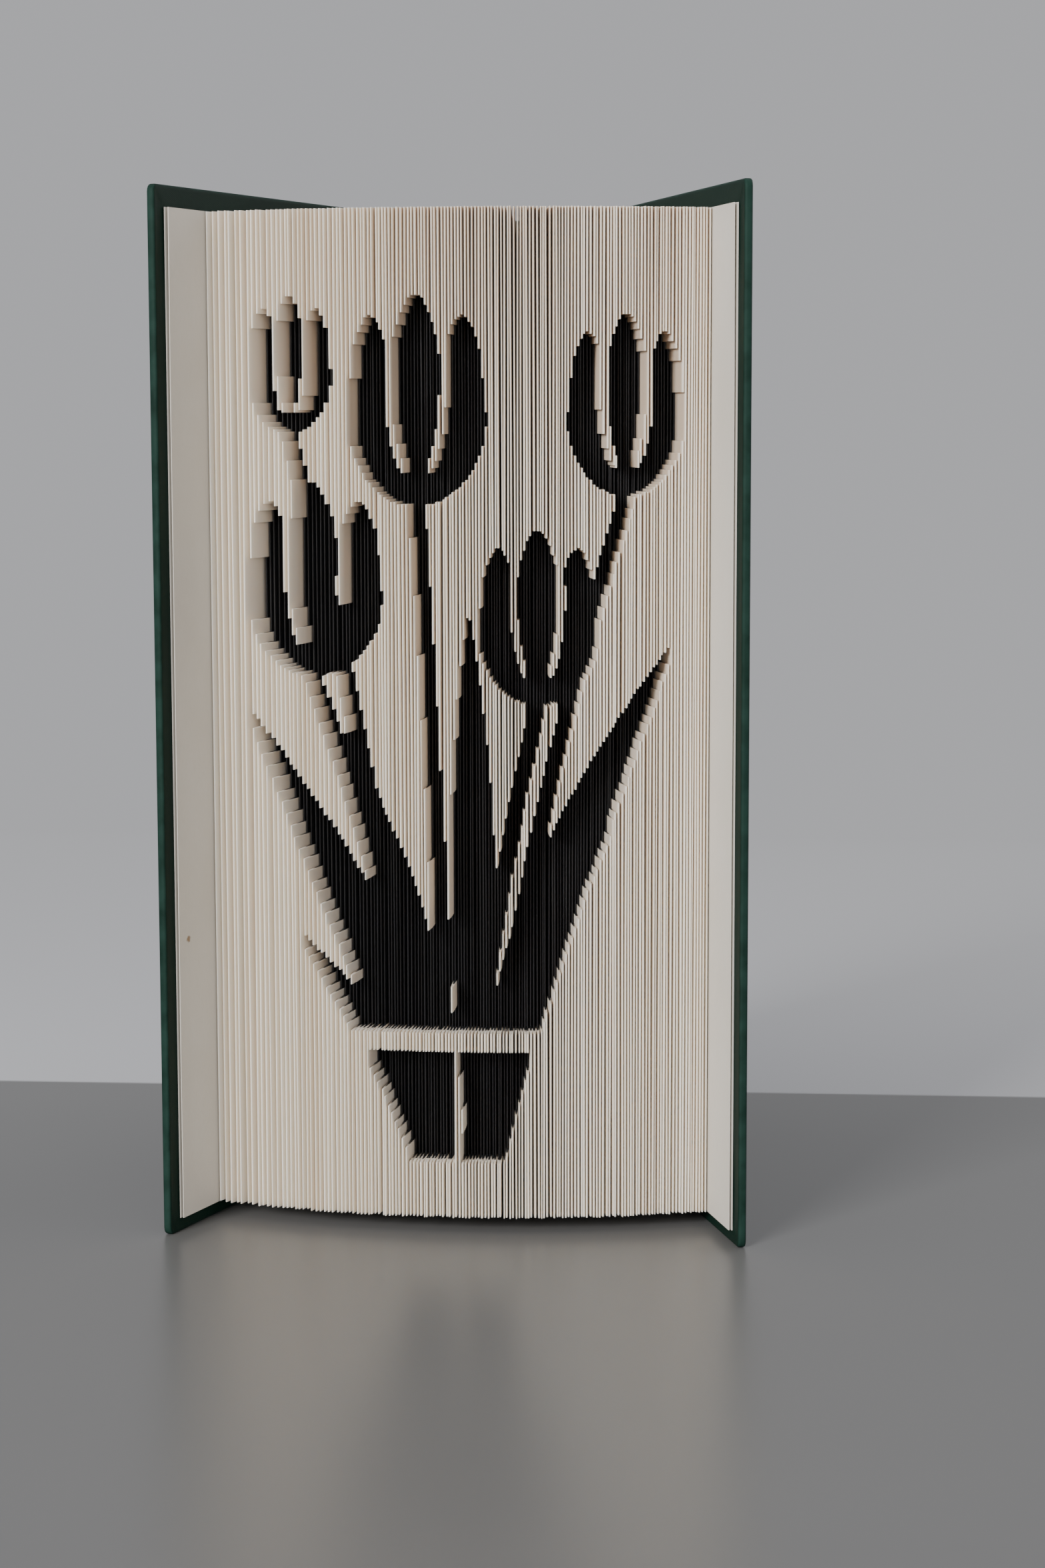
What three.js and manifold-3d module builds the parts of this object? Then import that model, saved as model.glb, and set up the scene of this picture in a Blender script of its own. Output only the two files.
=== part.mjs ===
// A hardback book that stands upright on its tail edges. Its covers are swung open in a V and its leaves
// fan out between them. Every leaf is folded back on itself, so the fore-edge is a row of rounded paper
// folds, and a picture of tulips is made by tucking the folds in deeper and inking their edges.
// Millimetres, +Z up, fore-edge towards -Y, spine towards +Y. The origin is the middle of the bounding
// box's base.

import * as THREE from "three";
import { mergeVertices } from "three/addons/utils/BufferGeometryUtils.js";
import Module from "manifold-3d";

const wasm = await Module();
wasm.setup();

// Covers
const COVER_HEIGHT = 220;
const COVER_WIDTH = 140; // from the hinge line to the fore-edge
const COVER_CORNER = 1.6; // radius of the two outer corners
const OPEN_ANGLE = 18.7; // degrees that each cover stands off the book's middle plane
const HINGE_SPACING = 30; // between the two hinge lines
const BOARD_THICKNESS = 1.1;
const BOARD_SETBACK = 5.4; // from the hinge line to the board's spine edge
const CLOTH_THICKNESS = 0.25;
const TURN_IN = 15; // cloth folded over onto the inside
const LAYER_GAP = 0.1; // glue line between two layers
const JOINT_GAP = 0.4; // from the hinge line to the cloth on either side of it
const JOINT_SLOPE = 1.4; // width of the groove's bank, where the cloth climbs onto the board

// Endpapers
const PASTEDOWN_THICKNESS = 0.2;
const PASTEDOWN_INSET = 1; // from the hinge line
const FORE_SQUARE = 3.9; // how far a cover stands out past the leaves at the fore-edge
const FLYLEAF_THICKNESS = 0.25;
const FLYLEAF_INSET = 2; // from the hinge line
const FLYLEAF_MARGIN = 0.8; // how much shorter a flyleaf is than the pastedown at the fore-edge
const SIDE_CLEARANCE = 0.3; // between pastedown and flyleaf, and between flyleaf and leaves

// Text block
const TAIL_SQUARE = 3; // the block has sunk a little between its covers
const HEAD_SQUARE = 4.6;
const SHOULDER_INSET = 2; // from a hinge line to the side of the block's back
const BACK_RISE = 1.5; // how far the block's back bulges
const LEAF_SETBACK = 19; // from a cover's fore-edge to the folds of the outermost leaves
const FORE_EDGE_RISE = 9.5; // how far the fore-edge bulges
const FOLD_THICKNESS = 0.36;
const LEAF_PITCH = 0.77; // from one fold to the next, on average
const LEAF_SPREAD = 0.14; // share of the fore-edge taken up by the leaves' standing wider at the front cover
const SPREAD_FADE = 7; // how quickly that dies away towards the back cover
const FOLD_NOSE = 0.32; // length of the rounded end of a fold
const FOLD_UNEVEN = 0.4; // how far some folds fall short of the others
const UNEVEN_TURN = 2.4; // radians from one leaf to the next in that unevenness
const POCKET_DEPTH = 7.5; // how much deeper the inked folds lie
const POCKET_CLEARANCE = 0.07; // cut away on either side of a tucked fold
const GROOVE_BELOW = 4; // how much deeper than those the grooves between leaves run
const BACK_STEPS = 16; // straight facets of the block's rounded back

// Spine
const MULL_THICKNESS = 0.3;
const MULL_MARGIN = 18; // from the block's ends
const LINING_THICKNESS = 0.25;
const LINING_MARGIN = 6;
const GLUE_GAP = 0.15;
const HOLLOW = 0.65; // air between the lining and the turned-in cloth
const INLAY_THICKNESS = 0.8;
const INLAY_MARGIN = 0.3; // from the inlay's side to the cloth that wraps it
const BAND_TAPE = 0.3;
const BAND_TAPE_LENGTH = 10;
const BAND_RADIUS = 0.9;
const BAND_SINK = 0.6; // how far the bead's middle lies inside the block's back
const BAND_CLEARANCE = 0.25; // under the bead

// The picture: tulips on a grid 100 wide and 190 high, which is stretched over the fore-edge.
const GRID_WIDTH = 100;
const GRID_HEIGHT = 190;
const PICTURE_SIDE_MARGIN = 5;
const PICTURE_END_MARGIN = 12;
const PICTURE_STEP = 0.5; // how finely a fold is followed when its dark stretches are found
const SHORTEST_DARK = 3;
const SHORTEST_PALE = 2;
const TULIPS = [
  { foot: -6, x: -31, y: 104, halfWidth: 15.5, height: 41 },
  { foot: -2, x: -8, y: 140, halfWidth: 15, height: 44 },
  { foot: 3, x: 18, y: 98, halfWidth: 13, height: 37 },
  { foot: 8, x: 37, y: 142, halfWidth: 12.5, height: 38 },
  { foot: -9, x: -36, y: 155, halfWidth: 9.5, height: 29 },
];
const BLADES = [
  { foot: -8, x: -48, y: 98, halfWidth: 6.5 },
  { foot: -4, x: -24, y: 92, halfWidth: 5.5 },
  { foot: 4, x: 3, y: 118, halfWidth: 5 },
  { foot: 9, x: 48, y: 112, halfWidth: 6.8 },
  { foot: 6, x: 34, y: 72, halfWidth: 5 },
  { foot: -9, x: -36, y: 50, halfWidth: 4.2 },
];
const STEM_HALF_WIDTH = 1.9;
const SLIT_HALF_WIDTH = 0.8; // pale line between two petals
const RIBBON_HEIGHT = 26; // pale band that ties the bunch
const RIBBON_HALF_WIDTH = 2.2;

// Layers of a cover, measured outwards from the inner face of its pastedown
const clothInside = PASTEDOWN_THICKNESS + LAYER_GAP;
const boardInside = clothInside + CLOTH_THICKNESS + LAYER_GAP;
const boardOutside = boardInside + BOARD_THICKNESS;
const clothOutside = boardOutside + LAYER_GAP + CLOTH_THICKNESS;
const edgeWrap = CLOTH_THICKNESS + LAYER_GAP; // cloth and glue round a board's edge

// Where the block lies between the covers
const openAngle = THREE.MathUtils.degToRad(OPEN_ANGLE);
const hingeX = HINGE_SPACING / 2;
const blockTail = TAIL_SQUARE;
const blockHead = COVER_HEIGHT - HEAD_SQUARE;
const blockSide = 2 * SIDE_CLEARANCE + FLYLEAF_THICKNESS; // from the pastedown to the leaves
const sideReach = COVER_WIDTH - LEAF_SETBACK;
const foreHalf = hingeX + sideReach * Math.sin(openAngle) - blockSide * Math.cos(openAngle);
const foreSideY = -sideReach * Math.cos(openAngle) - blockSide * Math.sin(openAngle);
const backHalf = hingeX - SHOULDER_INSET;

// The block's back and fore-edge are arcs round these centres
const backArc = arcThrough(backHalf, BACK_RISE);
const foreArc = arcThrough(foreHalf, FORE_EDGE_RISE);
const backCentreY = BACK_RISE - backArc.radius;
const foreCentreY = foreSideY - FORE_EDGE_RISE + foreArc.radius;

// The leaves
const foreLength = 2 * foreArc.radius * foreArc.halfAngle;
const leafCount = Math.round(foreLength / LEAF_PITCH);
const grooveDepth = POCKET_DEPTH + GROOVE_BELOW;

// Layers behind the block's back, as radii of the back's arc
const mullInner = backArc.radius + GLUE_GAP;
const mullOuter = mullInner + MULL_THICKNESS;
const liningInner = mullOuter + LAYER_GAP;
const liningOuter = liningInner + LINING_THICKNESS;
const spineInner = liningOuter + HOLLOW;
const inlayInner = spineInner + CLOTH_THICKNESS + LAYER_GAP;
const inlayOuter = inlayInner + INLAY_THICKNESS;
const spineOuter = inlayOuter + LAYER_GAP + CLOTH_THICKNESS;
const spineHalf = hingeX - JOINT_GAP;

// The middle of the box, from the covers' fore-edges to the back of the spine
const boxFront = -COVER_WIDTH * Math.cos(openAngle) + clothInside * Math.sin(openAngle);
const boxBack = backCentreY + spineOuter;
const originY = (boxFront + boxBack) / 2;

// Radius and half angle of the arc whose chord is 2 * half long and whose bulge is rise
function arcThrough(half, rise) {
  const radius = (half * half + rise * rise) / (2 * rise);
  return { radius, halfAngle: Math.asin(half / radius) };
}

// Geometry

function polygon(points) {
  return new THREE.Shape(points.map(([x, y]) => new THREE.Vector2(x, y)));
}

// An outline in x and y, raised from z = low to z = high
function prism(outline, low, high, curveSegments = 12) {
  const settings = { depth: high - low, bevelEnabled: false, curveSegments };
  return new THREE.ExtrudeGeometry(outline, settings).translate(0, 0, low);
}

// An outline in y and z, thickened along x between two distances on one side of the book
function plate(outline, side, near, far) {
  const settings = { depth: far - near, bevelEnabled: false, curveSegments: 4 };
  const turned = new THREE.Matrix4().makeBasis(
    new THREE.Vector3(0, 1, 0),
    new THREE.Vector3(0, 0, 1),
    new THREE.Vector3(1, 0, 0),
  );
  const start = side > 0 ? near : -far;
  return new THREE.ExtrudeGeometry(outline, settings).applyMatrix4(turned).translate(start, 0, 0);
}

// A rectangle in y and z that reaches from the hinge line to the fore-edge, with round outer corners
function coverOutline(hingeEnd, foreEnd, tail, head, corner) {
  const outline = new THREE.Shape();
  outline.moveTo(-hingeEnd, tail);
  outline.lineTo(-hingeEnd, head);
  outline.lineTo(-foreEnd + corner, head);
  if (corner > 0) outline.absarc(-foreEnd + corner, head - corner, corner, Math.PI / 2, Math.PI);
  else outline.lineTo(-foreEnd, head);
  outline.lineTo(-foreEnd, tail + corner);
  if (corner > 0) outline.absarc(-foreEnd + corner, tail + corner, corner, Math.PI, 1.5 * Math.PI);
  else outline.lineTo(-foreEnd, tail);
  outline.closePath();
  return outline;
}

// A curved wall behind the block: part of a ring round the centre of the back's arc
function backWall(inner, outer, half, low, high) {
  const reach = Math.asin(half / outer);
  const outline = new THREE.Shape();
  const start = Math.PI / 2 - reach;
  const end = Math.PI / 2 + reach;
  outline.absarc(0, backCentreY, outer, start, end, false);
  outline.absarc(0, backCentreY, inner, end, start, true);
  outline.closePath();
  return prism(outline, low, high, 10);
}

// Solids

function toSolid(geometry) {
  const bare = geometry.clone();
  bare.deleteAttribute("normal");
  bare.deleteAttribute("uv");
  const merged = mergeVertices(bare, 1e-4);
  const vertProperties = merged.getAttribute("position").array;
  const triVerts = new Uint32Array(merged.index.array);
  return new wasm.Manifold(new wasm.Mesh({ numProp: 3, vertProperties, triVerts }));
}

function toGeometry(solid) {
  const { vertProperties, triVerts } = solid.getMesh();
  const geometry = new THREE.BufferGeometry();
  geometry.setAttribute("position", new THREE.BufferAttribute(vertProperties, 3));
  geometry.setIndex(new THREE.BufferAttribute(triVerts, 1));
  geometry.computeVertexNormals();
  return geometry;
}

// The picture

// One tulip flower: a cup with three petal tips and two pale slits between its petals
function inFlower(x, y, tulip) {
  const up = (y - tulip.y) / tulip.height;
  if (up < 0 || up > 1) return false;
  const across = Math.abs(x - tulip.x) / tulip.halfWidth;
  const bowl = Math.sqrt(1 - (1 - Math.min(up / 0.42, 1)) ** 2);
  const waist = 1 - (0.16 * Math.max(0, up - 0.42)) / 0.58;
  const middleTip = 1 - 2.2 * across ** 2;
  const sideTip = 0.9 - 2.6 * (across - 0.66) ** 2;
  if (across > bowl * waist || up > Math.max(middleTip, sideTip)) return false;
  const petal = 1 - ((up - 0.62) / 0.5) ** 2;
  const slit = 0.4 * Math.sqrt(Math.max(petal, 0));
  return up < 0.16 || petal < 0 || Math.abs(across - slit) * tulip.halfWidth > SLIT_HALF_WIDTH;
}

function inStem(x, y, tulip) {
  const up = y / tulip.y;
  const middle = tulip.foot + (tulip.x - tulip.foot) * up ** 1.5;
  return up < 1.03 && Math.abs(x - middle) < STEM_HALF_WIDTH;
}

function inBlade(x, y, blade) {
  const up = y / blade.y;
  if (up > 1) return false;
  const middle = blade.foot + (blade.x - blade.foot) * up ** 1.7;
  const halfWidth = blade.halfWidth * Math.sin(Math.PI * (0.94 * up + 0.06)) ** 0.8;
  return Math.abs(x - middle) < halfWidth;
}

function isDark(x, y) {
  if (y < 0 || y > GRID_HEIGHT || Math.abs(y - RIBBON_HEIGHT) < RIBBON_HALF_WIDTH) return false;
  return (
    TULIPS.some((tulip) => inFlower(x, y, tulip) || inStem(x, y, tulip)) ||
    BLADES.some((blade) => inBlade(x, y, blade))
  );
}

// The stretches of height over which one leaf's fold is tucked in, as [low, high]
function darkStretches(leaf) {
  const fieldWidth = foreLength - 2 * PICTURE_SIDE_MARGIN;
  const fieldLow = blockTail + PICTURE_END_MARGIN;
  const fieldHeight = blockHead - PICTURE_END_MARGIN - fieldLow;
  const x = ((foldShare(leaf) * foreLength) / 2 / fieldWidth) * GRID_WIDTH;
  const stretches = [];
  let start = null;
  for (let rise = 0; rise <= fieldHeight + PICTURE_STEP; rise += PICTURE_STEP) {
    const dark = isDark(x, (rise / fieldHeight) * GRID_HEIGHT);
    if (dark && start === null) start = rise;
    if (dark || start === null) continue;
    const last = stretches.at(-1);
    const joins = last && fieldLow + start - last[1] < SHORTEST_PALE;
    if (joins) last[1] = fieldLow + rise;
    else stretches.push([fieldLow + start, fieldLow + rise]);
    start = null;
  }
  return stretches.filter(([low, high]) => high - low >= SHORTEST_DARK);
}

// The text block

// A leaf's place across the block's back, from -1 at the front cover to 1 at the back cover
function backShare(leaf) {
  return (2 * leaf + 1) / leafCount - 1;
}

// Its fold's place across the fore-edge, where the leaves next to the front cover stand wider apart
function foldShare(leaf) {
  const turned = leaf / (leafCount - 1);
  const spread = 1 - (1 - turned) ** SPREAD_FADE;
  return 2 * ((1 - LEAF_SPREAD) * turned + LEAF_SPREAD * spread) - 1;
}

// A leaf's own frame: its fold at the fore-edge, the way in towards the spine, and the way across
function leafFrame(leaf) {
  const angle = foldShare(leaf) * (foreArc.halfAngle - FOLD_THICKNESS / 2 / foreArc.radius);
  const fore = new THREE.Vector2(
    foreArc.radius * Math.sin(angle),
    foreCentreY - foreArc.radius * Math.cos(angle),
  );
  const backX = backShare(leaf) * backHalf;
  const back = new THREE.Vector2(backX, backCentreY + Math.sqrt(backArc.radius ** 2 - backX ** 2));
  const inward = back.clone().sub(fore).normalize();
  const across = new THREE.Vector2(inward.y, -inward.x);
  const shortfall = (FOLD_UNEVEN / 2) * (1 + Math.sin(UNEVEN_TURN * leaf));
  const fold = fore.clone().addScaledVector(inward, shortfall);
  return { fold, inward, across };
}

function leafPoint({ fold, inward, across }, depth, aside) {
  const point = fold.clone().addScaledVector(inward, depth).addScaledVector(across, aside);
  return [point.x, point.y];
}

// The block's plan: a comb whose teeth are the folded leaves, closed by the rounded back
function combOutline() {
  const half = FOLD_THICKNESS / 2;
  const points = [];
  for (let leaf = 0; leaf < leafCount; leaf++) {
    const frame = leafFrame(leaf);
    if (leaf > 0) points.push(leafPoint(frame, grooveDepth, -half));
    points.push(leafPoint(frame, FOLD_NOSE, -half));
    points.push(leafPoint(frame, 0, 0));
    points.push(leafPoint(frame, FOLD_NOSE, half));
    if (leaf < leafCount - 1) points.push(leafPoint(frame, grooveDepth, half));
  }
  for (let step = 0; step <= BACK_STEPS; step++) {
    const angle = backArc.halfAngle * (1 - (2 * step) / BACK_STEPS);
    points.push([
      backArc.radius * Math.sin(angle),
      backCentreY + backArc.radius * Math.cos(angle),
    ]);
  }
  return polygon(points);
}

// What is taken away where a leaf's fold is tucked in over one stretch of height
function pocket(leaf, [low, high]) {
  const frame = leafFrame(leaf);
  const half = FOLD_THICKNESS / 2 + POCKET_CLEARANCE;
  const corners = [
    leafPoint(frame, -FOLD_NOSE, -half),
    leafPoint(frame, -FOLD_NOSE, half),
    leafPoint(frame, POCKET_DEPTH, half),
    leafPoint(frame, POCKET_DEPTH, -half),
  ];
  return prism(polygon(corners), low, high);
}

// Ink on the edges of the tucked folds, paper everywhere else
function paintInk(geometry, paper, ink) {
  const faces = geometry.toNonIndexed();
  faces.computeVertexNormals();
  const position = faces.getAttribute("position");
  const normal = faces.getAttribute("normal");
  const colours = new Float32Array(position.count * 3);
  for (let first = 0; first < position.count; first += 3) {
    let x = 0;
    let y = 0;
    for (let corner = first; corner < first + 3; corner++) {
      x += position.getX(corner) / 3;
      y += (position.getY(corner) - foreCentreY) / 3;
    }
    const distance = Math.hypot(x, y);
    const depth = foreArc.radius - distance;
    const outward = (normal.getX(first) * x + normal.getY(first) * y) / distance;
    const tucked = depth > POCKET_DEPTH / 2 && depth < POCKET_DEPTH + GROOVE_BELOW / 2;
    const colour = tucked && outward > 0.8 ? ink : paper;
    for (let corner = first; corner < first + 3; corner++) colour.toArray(colours, corner * 3);
  }
  faces.setAttribute("color", new THREE.BufferAttribute(colours, 3));
  return faces;
}

function textBlock() {
  const comb = toSolid(prism(combOutline(), blockTail, blockHead));
  const pockets = [];
  for (let leaf = 0; leaf < leafCount; leaf++) {
    for (const stretch of darkStretches(leaf)) pockets.push(toSolid(pocket(leaf, stretch)));
  }
  const block = comb.subtract(wasm.Manifold.union(pockets));
  return paintInk(toGeometry(block), new THREE.Color(0xd9d2c2), new THREE.Color(0x17171a));
}

// Covers

// Covering cloth of one cover: a sheet pressed into the joint's groove, over the board, and turned in
function coverCloth(side) {
  const whole = coverOutline(JOINT_GAP, COVER_WIDTH, 0, COVER_HEIGHT, COVER_CORNER);
  const slab = toSolid(plate(whole, side, clothInside, clothOutside));
  const groove = polygon([
    [side * (clothInside + CLOTH_THICKNESS), 1],
    [side * (clothInside + CLOTH_THICKNESS), JOINT_SLOPE - BOARD_SETBACK + edgeWrap],
    [side * (clothOutside + CLOTH_THICKNESS), edgeWrap - BOARD_SETBACK],
    [side * (clothOutside + CLOTH_THICKNESS), 1],
  ]);
  const window = coverOutline(
    BOARD_SETBACK - LAYER_GAP,
    COVER_WIDTH - TURN_IN,
    TURN_IN,
    COVER_HEIGHT - TURN_IN,
    0,
  );
  const inside = toSolid(plate(window, side, 0, boardInside + BOARD_THICKNESS / 2));
  const pressed = slab.subtract(toSolid(prism(groove, -1, COVER_HEIGHT + 1)));
  return toGeometry(pressed.subtract(boardCavity(side)).subtract(inside));
}

// The space that the cloth leaves for the board
function boardCavity(side) {
  const outline = coverOutline(
    BOARD_SETBACK - LAYER_GAP,
    COVER_WIDTH - CLOTH_THICKNESS,
    CLOTH_THICKNESS,
    COVER_HEIGHT - CLOTH_THICKNESS,
    COVER_CORNER - CLOTH_THICKNESS,
  );
  return toSolid(plate(outline, side, boardInside - LAYER_GAP, boardOutside + LAYER_GAP));
}

function board(side) {
  const outline = coverOutline(
    BOARD_SETBACK,
    COVER_WIDTH - edgeWrap,
    edgeWrap,
    COVER_HEIGHT - edgeWrap,
    COVER_CORNER - edgeWrap,
  );
  return plate(outline, side, boardInside, boardOutside);
}

function pastedown(side) {
  const outline = coverOutline(PASTEDOWN_INSET, COVER_WIDTH - FORE_SQUARE, blockTail, blockHead, 0);
  return plate(outline, side, 0, PASTEDOWN_THICKNESS);
}

function flyleaf(side) {
  const foreEnd = COVER_WIDTH - FORE_SQUARE - FLYLEAF_MARGIN;
  const outline = coverOutline(FLYLEAF_INSET, foreEnd, blockTail, blockHead, 0);
  return plate(outline, side, -SIDE_CLEARANCE - FLYLEAF_THICKNESS, -SIDE_CLEARANCE);
}

// Spine

// Cloth over the spine: round the inlay, turned in at head and tail, and down into the two joints
function spineCloth() {
  const full = backWall(spineInner, spineOuter, spineHalf, 0, COVER_HEIGHT);
  const inlaySpace = backWall(
    inlayInner - LAYER_GAP,
    inlayOuter + LAYER_GAP,
    spineHalf - CLOTH_THICKNESS,
    CLOTH_THICKNESS,
    COVER_HEIGHT - CLOTH_THICKNESS,
  );
  const opening = backWall(
    spineInner - 1,
    inlayInner,
    spineHalf - CLOTH_THICKNESS,
    TURN_IN,
    COVER_HEIGHT - TURN_IN,
  );
  const sides = [-1, 1].map((side) => {
    const top = backCentreY + Math.sqrt(spineOuter ** 2 - spineHalf ** 2);
    const wall = polygon([
      [side * spineHalf, JOINT_GAP],
      [side * spineHalf, top],
      [side * (spineHalf - CLOTH_THICKNESS), top],
      [side * (spineHalf - CLOTH_THICKNESS), JOINT_GAP],
    ]);
    return toSolid(prism(wall, 0, COVER_HEIGHT));
  });
  const wrapped = toSolid(full).subtract(toSolid(inlaySpace)).subtract(toSolid(opening));
  return toGeometry(sides.reduce((cloth, wall) => cloth.add(wall), wrapped));
}

function spineInlay() {
  const half = spineHalf - CLOTH_THICKNESS - INLAY_MARGIN;
  return backWall(inlayInner, inlayOuter, half, edgeWrap, COVER_HEIGHT - edgeWrap);
}

function spineMull() {
  return backWall(mullInner, mullOuter, backHalf, blockTail + MULL_MARGIN, blockHead - MULL_MARGIN);
}

function spineLining() {
  const low = blockTail + LINING_MARGIN;
  return backWall(liningInner, liningOuter, backHalf, low, blockHead - LINING_MARGIN);
}

// A sewn band: a bead that lies over the ends of the leaves, on a tape glued to the block's back
function endBand(direction) {
  const end = direction > 0 ? blockHead : blockTail;
  const beadZ = end + direction * (BAND_CLEARANCE + BAND_RADIUS);
  const tapeEnd = end - direction * BAND_TAPE_LENGTH;
  const low = Math.min(beadZ, tapeEnd);
  const tape = backWall(mullInner, mullInner + BAND_TAPE, backHalf, low, Math.max(beadZ, tapeEnd));
  const beadRadius = backArc.radius - BAND_SINK + BAND_RADIUS / 2;
  const half = backArc.halfAngle * 0.98;
  const path = new THREE.CatmullRomCurve3(
    [-1, -0.5, 0, 0.5, 1].map((share) => {
      const x = beadRadius * Math.sin(share * half);
      return new THREE.Vector3(x, backCentreY + beadRadius * Math.cos(share * half), beadZ);
    }),
  );
  const section = new THREE.Shape().absarc(0, 0, BAND_RADIUS, 0, 2 * Math.PI);
  const settings = { extrudePath: path, steps: 10, curveSegments: 8 };
  return toGeometry(toSolid(tape).add(toSolid(new THREE.ExtrudeGeometry(section, settings))));
}

// Assembly

function finish(color, roughness) {
  return new THREE.MeshStandardMaterial({ color, roughness, metalness: 0 });
}

const clothFinish = finish(0x1c3d31, 0.75);
const boardFinish = finish(0x8d877b, 0.95);
const endpaperFinish = finish(0xbfb8aa, 0.9);
const mullFinish = finish(0xcfc8b4, 0.95);
const kraftFinish = finish(0xa98a62, 0.95);
const bandFinish = finish(0xb8ab86, 0.8);
const blockFinish = finish(0xffffff, 0.9);
blockFinish.vertexColors = true;

function piece(name, geometry, material) {
  const mesh = new THREE.Mesh(geometry, material);
  mesh.name = name;
  return mesh;
}

// A group whose own -Y runs along one cover, from the hinge line to the fore-edge
function coverFrame(side) {
  const group = new THREE.Group();
  group.position.set(side * hingeX, 0, 0);
  group.rotation.z = side * openAngle;
  return group;
}

const book = new THREE.Group();
book.position.y = -originY;
book.add(
  piece("text_block", textBlock(), blockFinish),
  piece("spine_mull", spineMull(), mullFinish),
  piece("spine_lining", spineLining(), kraftFinish),
  piece("spine_inlay", spineInlay(), boardFinish),
  piece("spine_cloth", spineCloth(), clothFinish),
  piece("headband", endBand(1), bandFinish),
  piece("tailband", endBand(-1), bandFinish),
);
for (const [name, side] of [["front", -1], ["back", 1]]) {
  const cover = coverFrame(side);
  cover.add(
    piece(`${name}_cover_cloth`, coverCloth(side), clothFinish),
    piece(`${name}_board`, board(side), boardFinish),
    piece(`${name}_pastedown`, pastedown(side), endpaperFinish),
    piece(`${name}_flyleaf`, flyleaf(side), endpaperFinish),
  );
  book.add(cover);
}

const part = new THREE.Group();
part.add(book);

export default part;
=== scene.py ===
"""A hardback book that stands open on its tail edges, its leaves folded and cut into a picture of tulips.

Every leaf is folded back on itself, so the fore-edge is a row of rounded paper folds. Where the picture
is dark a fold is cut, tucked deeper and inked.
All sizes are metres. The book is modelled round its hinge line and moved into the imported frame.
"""

import logging
import math
from dataclasses import dataclass, field
from enum import Enum
from typing import Any

import bmesh
import bpy
import numpy as np
from mathutils import Matrix, Vector

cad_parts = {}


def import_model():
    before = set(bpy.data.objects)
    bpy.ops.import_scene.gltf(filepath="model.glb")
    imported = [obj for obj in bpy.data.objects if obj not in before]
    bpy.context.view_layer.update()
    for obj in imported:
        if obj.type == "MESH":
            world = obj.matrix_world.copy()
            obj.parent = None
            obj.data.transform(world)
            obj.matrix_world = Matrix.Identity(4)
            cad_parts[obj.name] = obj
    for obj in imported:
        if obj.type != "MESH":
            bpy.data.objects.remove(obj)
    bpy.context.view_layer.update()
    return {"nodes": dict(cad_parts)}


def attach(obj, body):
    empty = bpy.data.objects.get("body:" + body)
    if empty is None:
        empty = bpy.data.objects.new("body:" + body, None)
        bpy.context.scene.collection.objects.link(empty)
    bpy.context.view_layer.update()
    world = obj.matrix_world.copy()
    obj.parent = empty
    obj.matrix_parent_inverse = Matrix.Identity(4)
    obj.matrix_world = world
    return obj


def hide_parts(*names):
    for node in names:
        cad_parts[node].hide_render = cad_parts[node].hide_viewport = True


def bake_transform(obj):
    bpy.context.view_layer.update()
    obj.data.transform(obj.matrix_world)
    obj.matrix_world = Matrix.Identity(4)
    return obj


MM = 0.001
WALL = (0.455, 0.457, 0.474)
Triple = tuple[float, float, float]
Pairs = tuple[tuple[float, float], ...]
Socket = bpy.types.NodeSocket
log = logging.getLogger("book")


class Side(Enum):
    """One of the two covers: the sign of its x."""

    FRONT = -1
    BACK = 1

    @property
    def label(self) -> str:
        """The cover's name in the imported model."""
        return self.name.lower()


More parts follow.
